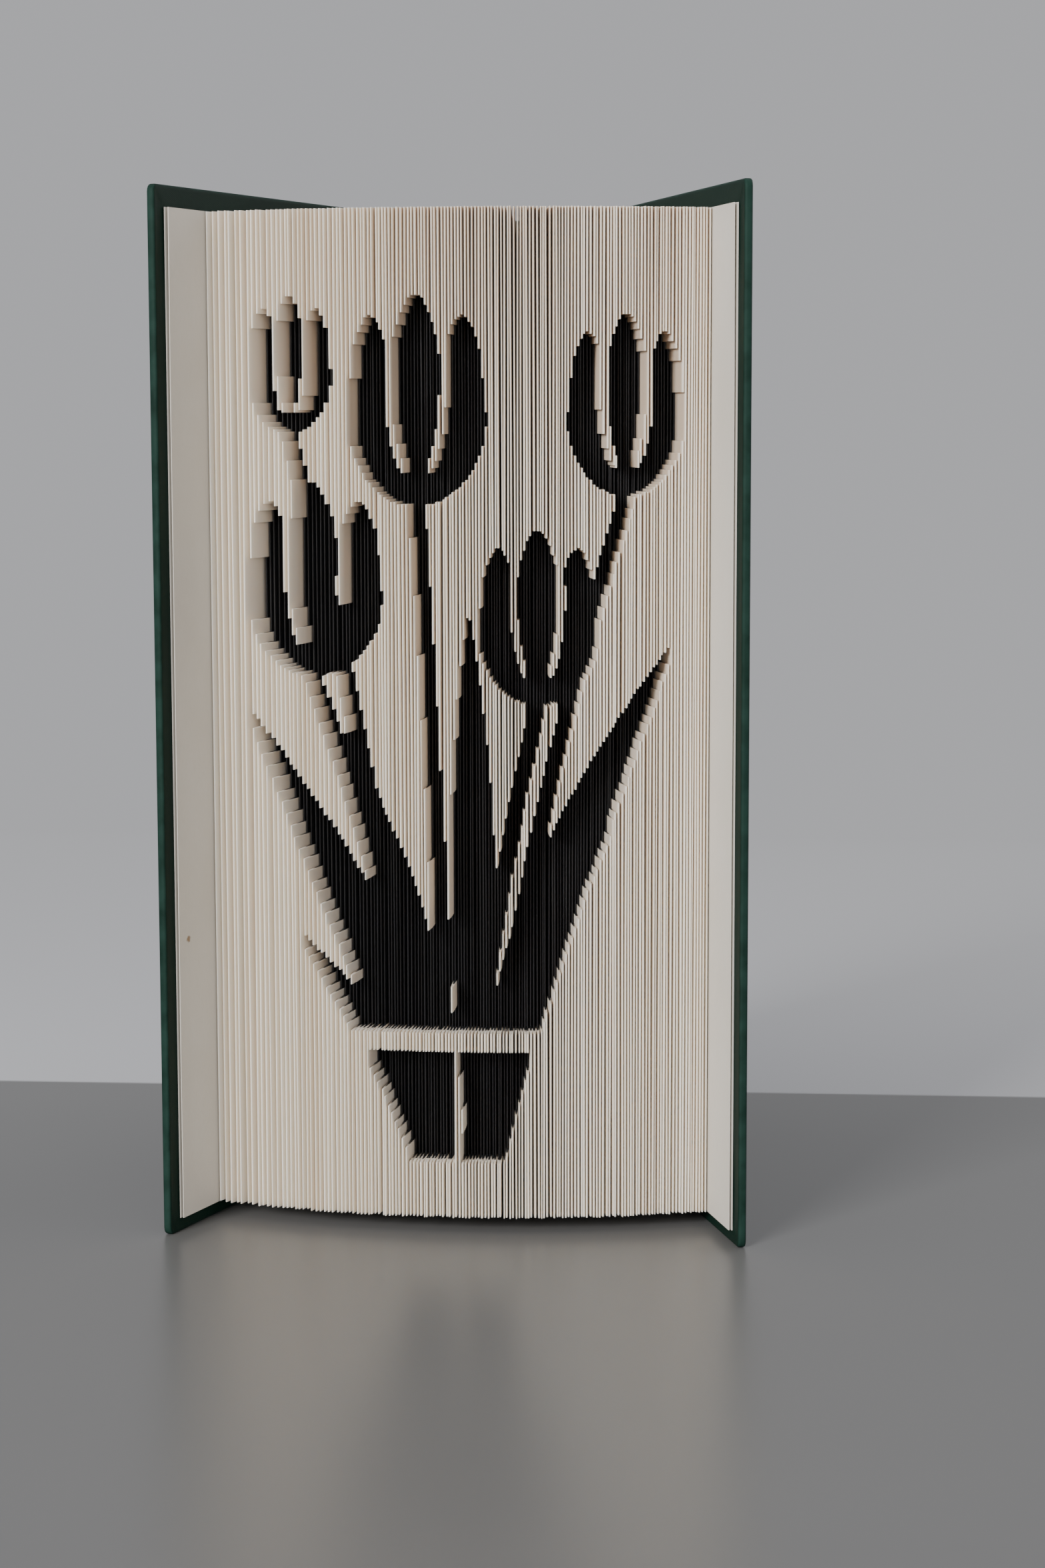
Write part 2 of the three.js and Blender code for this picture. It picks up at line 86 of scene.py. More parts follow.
@dataclass(frozen=True)
class BookPlan:
    """The sizes that every part of the book is set out from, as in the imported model."""

    cover_height: float = 220 * MM
    cover_width: float = 140 * MM
    cover_corner: float = 1.6 * MM
    open_angle: float = math.radians(18.7)
    hinge_half: float = 15 * MM
    block_tail: float = 3 * MM
    block_head: float = 215.4 * MM
    block_side: float = 0.85 * MM
    leaf_reach: float = 121 * MM
    fore_rise: float = 9.5 * MM
    back_half: float = 13 * MM
    back_rise: float = 1.5 * MM
    pitch: float = 0.77 * MM
    leaf_spread: float = 0.14
    spread_fade: float = 7
    cloth_inside: float = 0.3 * MM
    cloth_outside: float = 2.1 * MM
    spine_build: float = 2.95 * MM

    @property
    def back_radius(self) -> float:
        """Radius of the block's rounded back."""
        return (self.back_half**2 + self.back_rise**2) / (2 * self.back_rise)

    @property
    def back_centre(self) -> float:
        """y of the centre of the block's rounded back."""
        return self.back_rise - self.back_radius

    @property
    def fore_half(self) -> float:
        """Half the width of the fore-edge."""
        return (
            self.hinge_half
            + self.leaf_reach * math.sin(self.open_angle)
            - self.block_side * math.cos(self.open_angle)
        )

    @property
    def fore_radius(self) -> float:
        """Radius of the bulging fore-edge."""
        return (self.fore_half**2 + self.fore_rise**2) / (2 * self.fore_rise)

    @property
    def fore_centre(self) -> float:
        """y of the centre of the bulging fore-edge."""
        side_y = -self.leaf_reach * math.cos(self.open_angle)
        side_y -= self.block_side * math.sin(self.open_angle)
        return side_y - self.fore_rise + self.fore_radius

    @property
    def fore_half_angle(self) -> float:
        """Half the angle that the fore-edge spans round its centre."""
        return math.asin(self.fore_half / self.fore_radius)

    @property
    def leaf_count(self) -> int:
        """How many folded leaves there are."""
        return round(2 * self.fore_radius * self.fore_half_angle / self.pitch)

    def fold_share(self, leaf: float) -> float:
        """Where a leaf's fold lies across the fore-edge, from -1 to 1: wider apart at the front cover."""
        turned = leaf / (self.leaf_count - 1)
        spread = 1 - (1 - turned) ** self.spread_fade
        return 2 * ((1 - self.leaf_spread) * turned + self.leaf_spread * spread) - 1

    def back_share(self, leaf: float) -> float:
        """Where a leaf is held across the block's back, from -1 to 1."""
        return (2 * leaf + 1) / self.leaf_count - 1

    def round_back(self, radius: float, turns: np.ndarray) -> list[tuple[float, float]]:
        """Points on an arc round the centre of the block's back, measured from the hinge line."""
        return [(radius * math.sin(turn), self.back_centre + radius * math.cos(turn)) for turn in turns]

    @property
    def row_y(self) -> float:
        """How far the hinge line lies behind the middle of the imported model's box."""
        front = -self.cover_width * math.cos(self.open_angle)
        front += self.cloth_inside * math.sin(self.open_angle)
        return -(front + self.back_centre + self.back_radius + self.spine_build) / 2

    def on_cover(self, side: Side, along: np.ndarray, out: np.ndarray, z: np.ndarray) -> np.ndarray:
        """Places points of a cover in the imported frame.

        Args:
            side: Which cover.
            along: Distance from the hinge line towards the fore-edge.
            out: Distance outwards from the inner face of the pastedown.
            z: Height.

        Returns:
            The points, one row each.
        """
        sine, cosine = math.sin(self.open_angle), math.cos(self.open_angle)
        x = side.value * (self.hinge_half + out * cosine + along * sine)
        y = out * sine - along * cosine + self.row_y
        return np.stack(np.broadcast_arrays(x, y, z), axis=-1)

    def hinge_point(self, side: Side, along: float, out: float) -> Triple:
        """A point beside one hinge line, half way up."""
        point = self.on_cover(side, np.array(along), np.array(out), np.array(self.cover_height / 2))
        return tuple(float(value) for value in point)


class NodeGraph:
    """Adds nodes to a node tree and links them."""

    def __init__(self, tree: bpy.types.NodeTree) -> None:
        """Starts on an existing tree."""
        self.tree = tree

    def add(self, kind: str, sockets: dict[Any, Any] | None = None, **settings: Any) -> bpy.types.Node:
        """Adds one node.

        Args:
            kind: The node's type.
            sockets: Input name or number to a value, or to the output socket that feeds it.
            settings: Properties of the node itself.

        Returns:
            The new node.
        """
        node = self.tree.nodes.new(kind)
        for name, value in settings.items():
            setattr(node, name, value)
        for name, value in (sockets or {}).items():
            if isinstance(value, Socket):
                self.tree.links.new(value, node.inputs[name])
            else:
                node.inputs[name].default_value = value
        return node

    def out(self, kind: str, sockets: dict[Any, Any] | None = None, **settings: Any) -> Socket:
        """Adds one node, as its first output socket."""
        return self.add(kind, sockets, **settings).outputs[0]

    def math(self, operation: str, first: Any, second: Any = 0.0) -> Socket:
        """One step of arithmetic, as the socket that holds its result."""
        return self.out("ShaderNodeMath", {0: first, 1: second}, operation=operation)

    def vector(self, operation: str, first: Any, second: Any) -> Socket:
        """One step of vector arithmetic. SCALE takes a number as its second value."""
        slot = 3 if operation == "SCALE" else 1
        return self.out("ShaderNodeVectorMath", {0: first, slot: second}, operation=operation)


class ShaderGraph(NodeGraph):
    """The nodes of one material, round a Principled shader."""

    def __init__(self, name: str, roughness: float, specular: float = 0.3) -> None:
        """Makes an empty material with one shader, whose uniform values are set on its own sockets."""
        self.material = bpy.data.materials.new(name)
        self.material.use_nodes = True
        super().__init__(self.material.node_tree)
        self.shader = self.tree.nodes["Principled BSDF"]
        self.shader.inputs["Roughness"].default_value = roughness
        self.shader.inputs["Specular IOR Level"].default_value = specular
        self.place = self.add("ShaderNodeTexCoord").outputs["Object"]

    def noise(self, scale: float, detail: float = 2.0, stretch: Triple = (1, 1, 1)) -> Socket:
        """Noise from 0 to 1 on the piece's own coordinates, stretched along an axis if asked."""
        scaled = self.out("ShaderNodeMapping", {"Vector": self.place, "Scale": stretch})
        node = self.add("ShaderNodeTexNoise", {"Vector": scaled, "Scale": scale, "Detail": detail})
        return node.outputs["Fac"]

    def attribute(self, name: str) -> Socket:
        """A number stored on the mesh."""
        return self.add("ShaderNodeAttribute", attribute_name=name).outputs["Fac"]

    def remap(self, value: Any, low: float, high: float, to_low: float = 0.0, to_high: float = 1.0) -> Socket:
        """Value stretched from one range to another and held inside it."""
        return self.out("ShaderNodeMapRange", {0: value, 1: low, 2: high, 3: to_low, 4: to_high})

    def mix(self, factor: Any, first: Any, second: Any) -> Socket:
        """Two colours mixed by a factor."""
        sockets = {0: factor, 6: self._colour(first), 7: self._colour(second)}
        return self.add("ShaderNodeMix", sockets, data_type="RGBA").outputs[2]

    @staticmethod
    def _colour(value: Any) -> Any:
        """A colour with its fourth number, or the socket as it is."""
        return (*value, 1.0) if isinstance(value, tuple) else value

    def bump(self, height: Any, distance: float, strength: float) -> None:
        """Raises the surface's shading by a height from 0 to 1."""
        sockets = {"Height": height, "Distance": distance, "Strength": strength}
        self.link(self.out("ShaderNodeBump", sockets), "Normal")

    def link(self, value: Any, socket: str) -> None:
        """Feeds one input of the shader."""
        self.tree.links.new(value, self.shader.inputs[socket])

    def hold(self, socket: str, value: Any) -> None:
        """Sets one input of the shader to a value."""
        self.shader.inputs[socket].default_value = value


def growth(name: str, inputs: dict[str, str]) -> tuple[NodeGraph, Any]:
    """Starts a geometry node tree that takes a geometry and returns one.

    Args:
        name: The tree's name.
        inputs: Each further input's name and type, in order.

    Returns:
        The tree's graph, and the sockets that hold its inputs.
    """
    tree = bpy.data.node_groups.new(name, "GeometryNodeTree")
    for label, kind in {"Geometry": "Geometry", **inputs}.items():
        tree.interface.new_socket(label, in_out="INPUT", socket_type=f"NodeSocket{kind}")
    tree.interface.new_socket("Geometry", in_out="OUTPUT", socket_type="NodeSocketGeometry")
    graph = NodeGraph(tree)
    return graph, graph.add("NodeGroupInput").outputs


@dataclass(frozen=True)
class LeafFinish:
    """Matt book paper with painted shade in its grooves, browner towards the head, with black ink on the
    tucked folds and painted glints on the ink.
    """

    paper: Triple = (0.93, 0.855, 0.745)
    shade: Triple = (0.84, 0.74, 0.615)
    # Colour of the painted shade in the grooves.
    groove: Triple = (0.58, 0.43, 0.30)
    head_tone: Triple = (0.60, 0.46, 0.35)
    ink: Triple = (0.013, 0.0125, 0.0135)
    # Colour of the painted glints on the ink.
    ink_glint: Triple = (0.20, 0.19, 0.18)
    paper_roughness: float = 0.86
    ink_roughness: float = 0.31
    # Depths over which the painted groove shade grows.
    groove_shade_range: tuple[float, float] = (0.1 * MM, 1.3 * MM)
    head_heights: tuple[float, float] = (0.15, 0.215)
    head_reach: tuple[float, float] = (-0.045, 0.005)
    ragged_edge: float = 0.5
    glow: float = 0.45
    glow_radius: Triple = (1.0, 0.8, 0.6)
    glow_scale: float = 0.9 * MM

    def make(self) -> bpy.types.Material:
        """Builds the material."""
        graph = ShaderGraph("leaf_paper_and_ink", self.paper_roughness, 0.25)
        place = graph.add("ShaderNodeSeparateXYZ", {0: graph.place}).outputs
        depth = graph.attribute("depth")
        colour = graph.mix(graph.remap(graph.attribute("tone"), 0, 1, 0, 0.75), self.paper, self.shade)
        # Painted shade: the paper turns brown in the grooves, by depth and by how close the folds stand, less
        # so low down.
        painted_groove_shade = graph.remap(depth, *self.groove_shade_range, 0, 0.85)
        painted_groove_shade = graph.math("MULTIPLY", painted_groove_shade, graph.remap(place["Z"], 0.03, 0.2, 0.3, 1))
        colour = graph.mix(painted_groove_shade, colour, self.groove)
        high_up = graph.remap(place["Z"], *self.head_heights)
        high_up = graph.math("MULTIPLY", high_up, graph.remap(place["X"], *self.head_reach, 0.15, 1))
        cloudy = graph.remap(graph.noise(38, 3, (1, 1, 0.12)), 0.35, 0.65)
        toned = graph.math("MULTIPLY", high_up, cloudy)
        below = graph.remap(depth, 0, 1.0 * MM, 0.5, 0.95)
        colour = graph.mix(graph.math("MULTIPLY", toned, below), colour, self.head_tone)
        streak = graph.remap(graph.noise(300, 2, (1, 1, 0.01)), 0.35, 0.8, 0, 0.25)
        colour = graph.mix(streak, colour, self.shade)
        ragged = graph.math("SUBTRACT", graph.noise(900, 2), 0.5)
        ragged = graph.math("MULTIPLY", ragged, self.ragged_edge)
        inked = graph.remap(graph.math("ADD", graph.attribute("ink"), ragged), 0.4, 0.55)
        # Painted highlight: faint paler vertical streaks on the black ink stand in for glints.
        ink_glint_streaks = graph.remap(graph.noise(420, 3, (1, 1, 0.06)), 0.62, 0.85, 0, 0.14)
        ink = graph.mix(ink_glint_streaks, self.ink, self.ink_glint)
        graph.link(graph.mix(inked, colour, ink), "Base Color")
        graph.link(graph.remap(inked, 0, 1, self.paper_roughness, self.ink_roughness), "Roughness")
        graph.bump(graph.noise(900, 2, (1, 1, 0.1)), 0.01 * MM, 0.3)
        graph.hold("Subsurface Weight", self.glow)
        graph.hold("Subsurface Radius", self.glow_radius)
        graph.hold("Subsurface Scale", self.glow_scale)
        return graph.material


@dataclass(frozen=True)
class EndpaperFinish:
    """Heavier paper, slightly mottled, with one small brown speck."""

    paper: Triple = (0.70, 0.665, 0.60)
    mottle: Triple = (0.66, 0.615, 0.54)
    stain: Triple = (0.27, 0.16, 0.07)
    stain_place: Triple = (-0.0569, -0.0612, 0.0627)
    stain_size: float = 0.9 * MM
    stain_wobble: float = 0.9 * MM

    def make(self) -> bpy.types.Material:
        """Builds the material."""
        graph = ShaderGraph("endpaper_sheet", 0.88, 0.25)
        colour = graph.mix(graph.remap(graph.noise(45, 4), 0.35, 0.7, 0, 0.7), self.paper, self.mottle)
        fibre = graph.remap(graph.noise(1500, 3, (1, 1, 0.4)), 0.35, 0.7, 0, 0.35)
        colour = graph.mix(fibre, colour, self.mottle)
        worn = graph.remap(graph.attribute("edge"), 0, 1, 0, 0.45)
        colour = graph.mix(worn, colour, self.mottle)
        away = graph.vector("SUBTRACT", graph.place, self.stain_place)
        distance = graph.add("ShaderNodeVectorMath", {0: away}, operation="LENGTH").outputs["Value"]
        wobble = graph.math("MULTIPLY", graph.noise(1400, 2), self.stain_wobble)
        spot = graph.math("ADD", distance, wobble)
        spot = graph.remap(spot, self.stain_size, self.stain_size * 1.5, 0.85, 0)
        graph.link(graph.mix(spot, colour, self.stain), "Base Color")
        graph.bump(graph.noise(1300, 3), 0.05 * MM, 0.5)
        return graph.material


@dataclass(frozen=True)
class BookClothFinish:
    """Dark green book cloth with a fine weave, paler along its edges: worn there, and with a painted
    highlight along the board edges.
    """

    cloth: Triple = (0.0036, 0.0135, 0.0092)
    light: Triple = (0.0070, 0.0235, 0.0162)
    # Paler edge colour: worn cloth, and a painted highlight along the board edges.
    worn: Triple = (0.020, 0.052, 0.040)
    thread: float = 0.42 * MM

    def make(self) -> bpy.types.Material:
        """Builds the material. The weave follows the sheet by its own flat coordinates, in metres."""
        graph = ShaderGraph("green_book_cloth", 0.5, 0.08)
        flat = graph.out("ShaderNodeUVMap", uv_map="flat")
        place = graph.add("ShaderNodeSeparateXYZ", {0: flat}).outputs
        turns = 2 * math.pi / self.thread
        warp, weft = (graph.math("SINE", graph.math("MULTIPLY", place[axis], turns)) for axis in "XY")
        weave = graph.remap(graph.math("MULTIPLY", warp, weft), -1, 1)
        slub = graph.noise(1100, 3)
        grain = graph.math("ADD", graph.math("MULTIPLY", weave, 0.6), graph.math("MULTIPLY", slub, 0.6))
        colour = graph.mix(graph.remap(grain, 0.3, 0.95), self.cloth, self.light)
        cloud = graph.remap(graph.noise(35, 4), 0.4, 0.75, 0, 0.5)
        colour = graph.mix(cloud, colour, self.light)
        # Paler along the edges: partly worn cloth, partly a painted highlight along the board edges.
        wear_and_edge_highlight = graph.math("ADD", graph.attribute("wear_and_highlight"), graph.math("SUBTRACT", graph.noise(240, 4), 0.62))
        colour = graph.mix(graph.remap(wear_and_edge_highlight, 0.42, 0.8, 0, 0.6), colour, self.worn)
        graph.link(colour, "Base Color")
        graph.bump(grain, 0.08 * MM, 0.7)
        return graph.material


@dataclass(frozen=True)
class FibreFinish:
    """Card, kraft paper or starched cotton: one tone broken up by fibres."""

    name: str
    base: Triple
    fleck: Triple
    scale: float = 700
    roughness: float = 0.93

    def make(self) -> bpy.types.Material:
        """Builds the material."""
        graph = ShaderGraph(self.name, self.roughness, 0.2)
        fleck = graph.remap(graph.noise(self.scale, 4, (1, 1, 0.3)), 0.45, 0.7)
        colour = graph.mix(fleck, self.base, self.fleck)
        colour = graph.mix(graph.remap(graph.noise(40, 3), 0.4, 0.7, 0, 0.4), colour, self.fleck)
        graph.link(colour, "Base Color")
        graph.bump(graph.noise(self.scale * 1.5, 3), 0.06 * MM, 0.7)
        return graph.material


@dataclass(frozen=True)
class ThreadFinish:
    """Twisted cotton thread of a sewn band."""

    name: str
    base: Triple
    dark: Triple

    def make(self) -> bpy.types.Material:
        """Builds the material."""
        graph = ShaderGraph(self.name, 0.7, 0.3)
        twist = graph.remap(graph.noise(2500, 2, (1, 1, 2.5)), 0.35, 0.7)
        graph.link(graph.mix(twist, self.base, self.dark), "Base Color")
        graph.hold("Sheen Weight", 0.2)
        graph.bump(twist, 0.05 * MM, 0.8)
        return graph.material


@dataclass(frozen=True)
class TableFinish:
    """The plain satin floor, mid grey where the book stands and pale behind it."""

    base: Triple = (0.130, 0.129, 0.128)
    cloudy: Triple = (0.15, 0.149, 0.147)
    far: Triple = (0.50, 0.502, 0.52)
    far_start: float = 0.078
    far_turn: float = -0.012
    far_blur: float = 2 * MM
    fade_reach: tuple[float, float] = (0.12, 0.55)
    ahead_reach: tuple[float, float] = (-1.1, -0.6)
    roughness: float = 0.3
    far_roughness: float = 0.8
    specular: float = 0.45

    def make(self) -> bpy.types.Material:
        """Builds the material, which glows like the background where it fades into it."""
        graph = ShaderGraph("plain_floor", self.roughness, self.specular)
        soft = graph.remap(graph.noise(6, 2), 0.3, 0.7, 0, 0.3)
        near = graph.mix(soft, self.base, self.cloudy)
        place = graph.add("ShaderNodeSeparateXYZ", {0: graph.place}).outputs
        line = graph.math("ADD", place["Y"], graph.math("MULTIPLY", place["X"], self.far_turn))
        beyond = graph.remap(line, self.far_start, self.far_start + self.far_blur)
        ahead = graph.remap(place["Y"], *self.ahead_reach, 1, 0)
        fade = graph.math("MAXIMUM", graph.remap(line, *self.fade_reach), ahead)
        graph.link(graph.mix(fade, graph.mix(beyond, near, self.far), (0, 0, 0)), "Base Color")
        graph.link(graph.remap(fade, 0, 1, self.specular, 0), "Specular IOR Level")
        graph.link(fade, "Emission Strength")
        graph.hold("Emission Color", (*WALL, 1))
        graph.link(graph.remap(beyond, 0, 1, self.roughness, self.far_roughness), "Roughness")
        return graph.material


@dataclass(frozen=True)
class Tulip:
    """One flower on the picture's grid, with the foot of its stem."""

    foot: float
    x: float
    y: float
    half_width: float
    height: float


@dataclass(frozen=True)
class Blade:
    """One long leaf of the bunch on the picture's grid."""

    foot: float
    x: float
    y: float
    half_width: float


@dataclass(frozen=True)
class TulipPicture:
    """The picture on a grid 100 wide and 190 high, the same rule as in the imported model."""

    width: float = 100
    height: float = 190
    side_margin: float = 5 * MM
    end_margin: float = 12 * MM
    step: float = 0.5 * MM
    shortest_dark: float = 3 * MM
    shortest_pale: float = 2 * MM
    stem_half: float = 1.9
    slit_half: float = 0.8
    ribbon_height: float = 26
    ribbon_half: float = 2.2
    tulips: tuple[Tulip, ...] = (
        Tulip(-6, -31, 104, 15.5, 41),
        Tulip(-2, -8, 140, 15, 44),
        Tulip(3, 18, 98, 13, 37),
        Tulip(8, 37, 142, 12.5, 38),
        Tulip(-9, -36, 155, 9.5, 29),
    )
    blades: tuple[Blade, ...] = (
        Blade(-8, -48, 98, 6.5),
        Blade(-4, -24, 92, 5.5),
        Blade(4, 3, 118, 5),
        Blade(9, 48, 112, 6.8),
        Blade(6, 34, 72, 5),
        Blade(-9, -36, 50, 4.2),
    )

    def in_flower(self, x: float, y: float, tulip: Tulip) -> bool:
        """Whether a point of the grid is in the petals of a flower."""
        up = (y - tulip.y) / tulip.height
        if up < 0 or up > 1:
            return False
        across = abs(x - tulip.x) / tulip.half_width
        bowl = math.sqrt(1 - (1 - min(up / 0.42, 1)) ** 2)
        waist = 1 - (0.16 * max(0.0, up - 0.42)) / 0.58
        middle_tip = 1 - 2.2 * across**2
        side_tip = 0.9 - 2.6 * (across - 0.66) ** 2
        if across > bowl * waist or up > max(middle_tip, side_tip):
            return False
        petal = 1 - ((up - 0.62) / 0.5) ** 2
        slit = 0.4 * math.sqrt(max(petal, 0.0))
        return up < 0.16 or petal < 0 or abs(across - slit) * tulip.half_width > self.slit_half

    def in_stem(self, x: float, y: float, tulip: Tulip) -> bool:
        """Whether a point of the grid is in the stem of a flower."""
        up = y / tulip.y
        if up < 0 or up >= 1.03:
            return False
        middle = tulip.foot + (tulip.x - tulip.foot) * up**1.5
        return abs(x - middle) < self.stem_half

    def in_blade(self, x: float, y: float, blade: Blade) -> bool:
        """Whether a point of the grid is in a long leaf."""
        up = y / blade.y
        if up < 0 or up > 1:
            return False
        middle = blade.foot + (blade.x - blade.foot) * up**1.7
        half = blade.half_width * math.sin(math.pi * (0.94 * up + 0.06)) ** 0.8
        return abs(x - middle) < half

    def dark(self, x: float, y: float) -> bool:
        """Whether the picture is dark at a point of the grid."""
        if y < 0 or y > self.height or abs(y - self.ribbon_height) < self.ribbon_half:
            return False
        flowers = any(self.in_flower(x, y, tulip) or self.in_stem(x, y, tulip) for tulip in self.tulips)
        return flowers or any(self.in_blade(x, y, blade) for blade in self.blades)

    def stretches(self, share: float, plan: BookPlan) -> list[tuple[float, float]]:
        """The heights over which one leaf's fold is tucked in.

        Args:
            share: The leaf's place across the block, from -1 to 1.
            plan: The book's sizes.

        Returns:
            The stretches as pairs of heights, from low to high.
        """
        fore_length = 2 * plan.fore_radius * plan.fore_half_angle
        x = share * fore_length / 2 / (fore_length - 2 * self.side_margin) * self.width
        low = plan.block_tail + self.end_margin
        field_height = plan.block_head - self.end_margin - low
        found: list[list[float]] = []
        start: float | None = None
        for count in range(int(field_height / self.step) + 2):
            rise = count * self.step
            is_dark = self.dark(x, rise / field_height * self.height)
            if is_dark and start is None:
                start = rise
            if is_dark or start is None:
                continue
            if found and low + start - found[-1][1] < self.shortest_pale:
                found[-1][1] = low + rise
            else:
                found.append([low + start, low + rise])
            start = None
        return [(a, b) for a, b in found if b - a >= self.shortest_dark]


def plain_mesh(name: str, points: np.ndarray, faces: list[tuple[int, ...]]) -> bpy.types.Object:
    """Makes a mesh object at the origin and links it.

    Args:
        name: The object's name.
        points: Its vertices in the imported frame.
        faces: Vertex numbers of each face.

    Returns:
        The object.
    """
    mesh = bpy.data.meshes.new(name)
    mesh.from_pydata([tuple(map(float, point)) for point in points], [], faces)
    mesh.validate()
    piece = bpy.data.objects.new(name, mesh)
    bpy.context.scene.collection.objects.link(piece)
    return piece


def store(piece: bpy.types.Object, name: str, values: np.ndarray) -> None:
    """Stores one number, or one vector, for each vertex of a mesh."""
    values = np.asarray(values, dtype=np.float32)
    kind, key = ("FLOAT_VECTOR", "vector") if values.ndim == 2 else ("FLOAT", "value")
    layer = piece.data.attributes.new(name, kind, "POINT")
    layer.data.foreach_set(key, values.ravel())


def smooth(piece: bpy.types.Object, sharp_degrees: float) -> None:
    """Shades a mesh smooth except across edges sharper than an angle."""
    piece.data.shade_smooth()
    piece.data.set_sharp_from_angle(angle=math.radians(sharp_degrees))


def outward(piece: bpy.types.Object) -> None:
    """Turns a closed mesh right side out, told by the sign of its volume."""
    mesh = piece.data
    mesh.calc_loop_triangles()
    points = np.empty(len(mesh.vertices) * 3)
    mesh.vertices.foreach_get("co", points)
    points = points.reshape(-1, 3)
    corners = np.empty(len(mesh.loop_triangles) * 3, dtype=np.int32)
    mesh.loop_triangles.foreach_get("vertices", corners)
    a, b, c = points[corners.reshape(-1, 3).T]
    if np.einsum("ij,ij->i", a, np.cross(b, c)).sum() < 0:
        mesh.flip_normals()


def smoothstep(value: np.ndarray | float) -> np.ndarray:
    """Eases from 0 to 1 as value goes from 0 to 1."""
    held = np.clip(value, 0, 1)
    return held * held * (3 - 2 * held)


def loft(rings: np.ndarray) -> tuple[np.ndarray, list[tuple[int, ...]]]:
    """Joins rings of points into a closed tube with flat ends.

    Args:
        rings: An array of rings, each with the same count of points in order.

    Returns:
        The vertices and faces.
    """
    count, size = rings.shape[:2]
    faces: list[tuple[int, ...]] = []
    for low in range(0, (count - 1) * size, size):
        for spot in range(size):
            after = (spot + 1) % size
            faces.append((low + spot, low + after, low + size + after, low + size + spot))
    faces.append(tuple(range(size))[::-1])
    faces.append(tuple(range((count - 1) * size, count * size)))
    return rings.reshape(-1, 3), faces


def rounding(radius: float, gap: np.ndarray | float) -> np.ndarray:
    """How far an edge of this radius has drawn in, at a distance from where it ends."""
    missing = radius - np.minimum(gap, radius)
    return radius - np.sqrt(np.maximum(radius**2 - missing**2, 0))


def sheet(name: str, rings: list[np.ndarray], layer: str, values: list[np.ndarray]) -> bpy.types.Object:
    """Makes a closed sheet from its rings, with a number stored at each point.

    Args:
        name: The piece's name.
        rings: The sheet's sections, each with the same count of points in order.
        layer: What the number is called.
        values: The number at each point of each ring.

    Returns:
        The piece.
    """
    points, faces = loft(np.array(rings))
    piece = plain_mesh(name, points, faces)
    store(piece, layer, np.concatenate(values))
    outward(piece)
    return piece


def flat_coordinates(piece: bpy.types.Object, flat: np.ndarray) -> None:
    """Stores where each point lies on the flat sheet, in metres, as the map named flat."""
    layer = piece.data.uv_layers.new(name="flat")
    corners = np.empty(len(piece.data.loops), dtype=np.int32)
    piece.data.loops.foreach_get("vertex_index", corners)
    layer.data.foreach_set("uv", flat[corners].astype(np.float32).ravel())


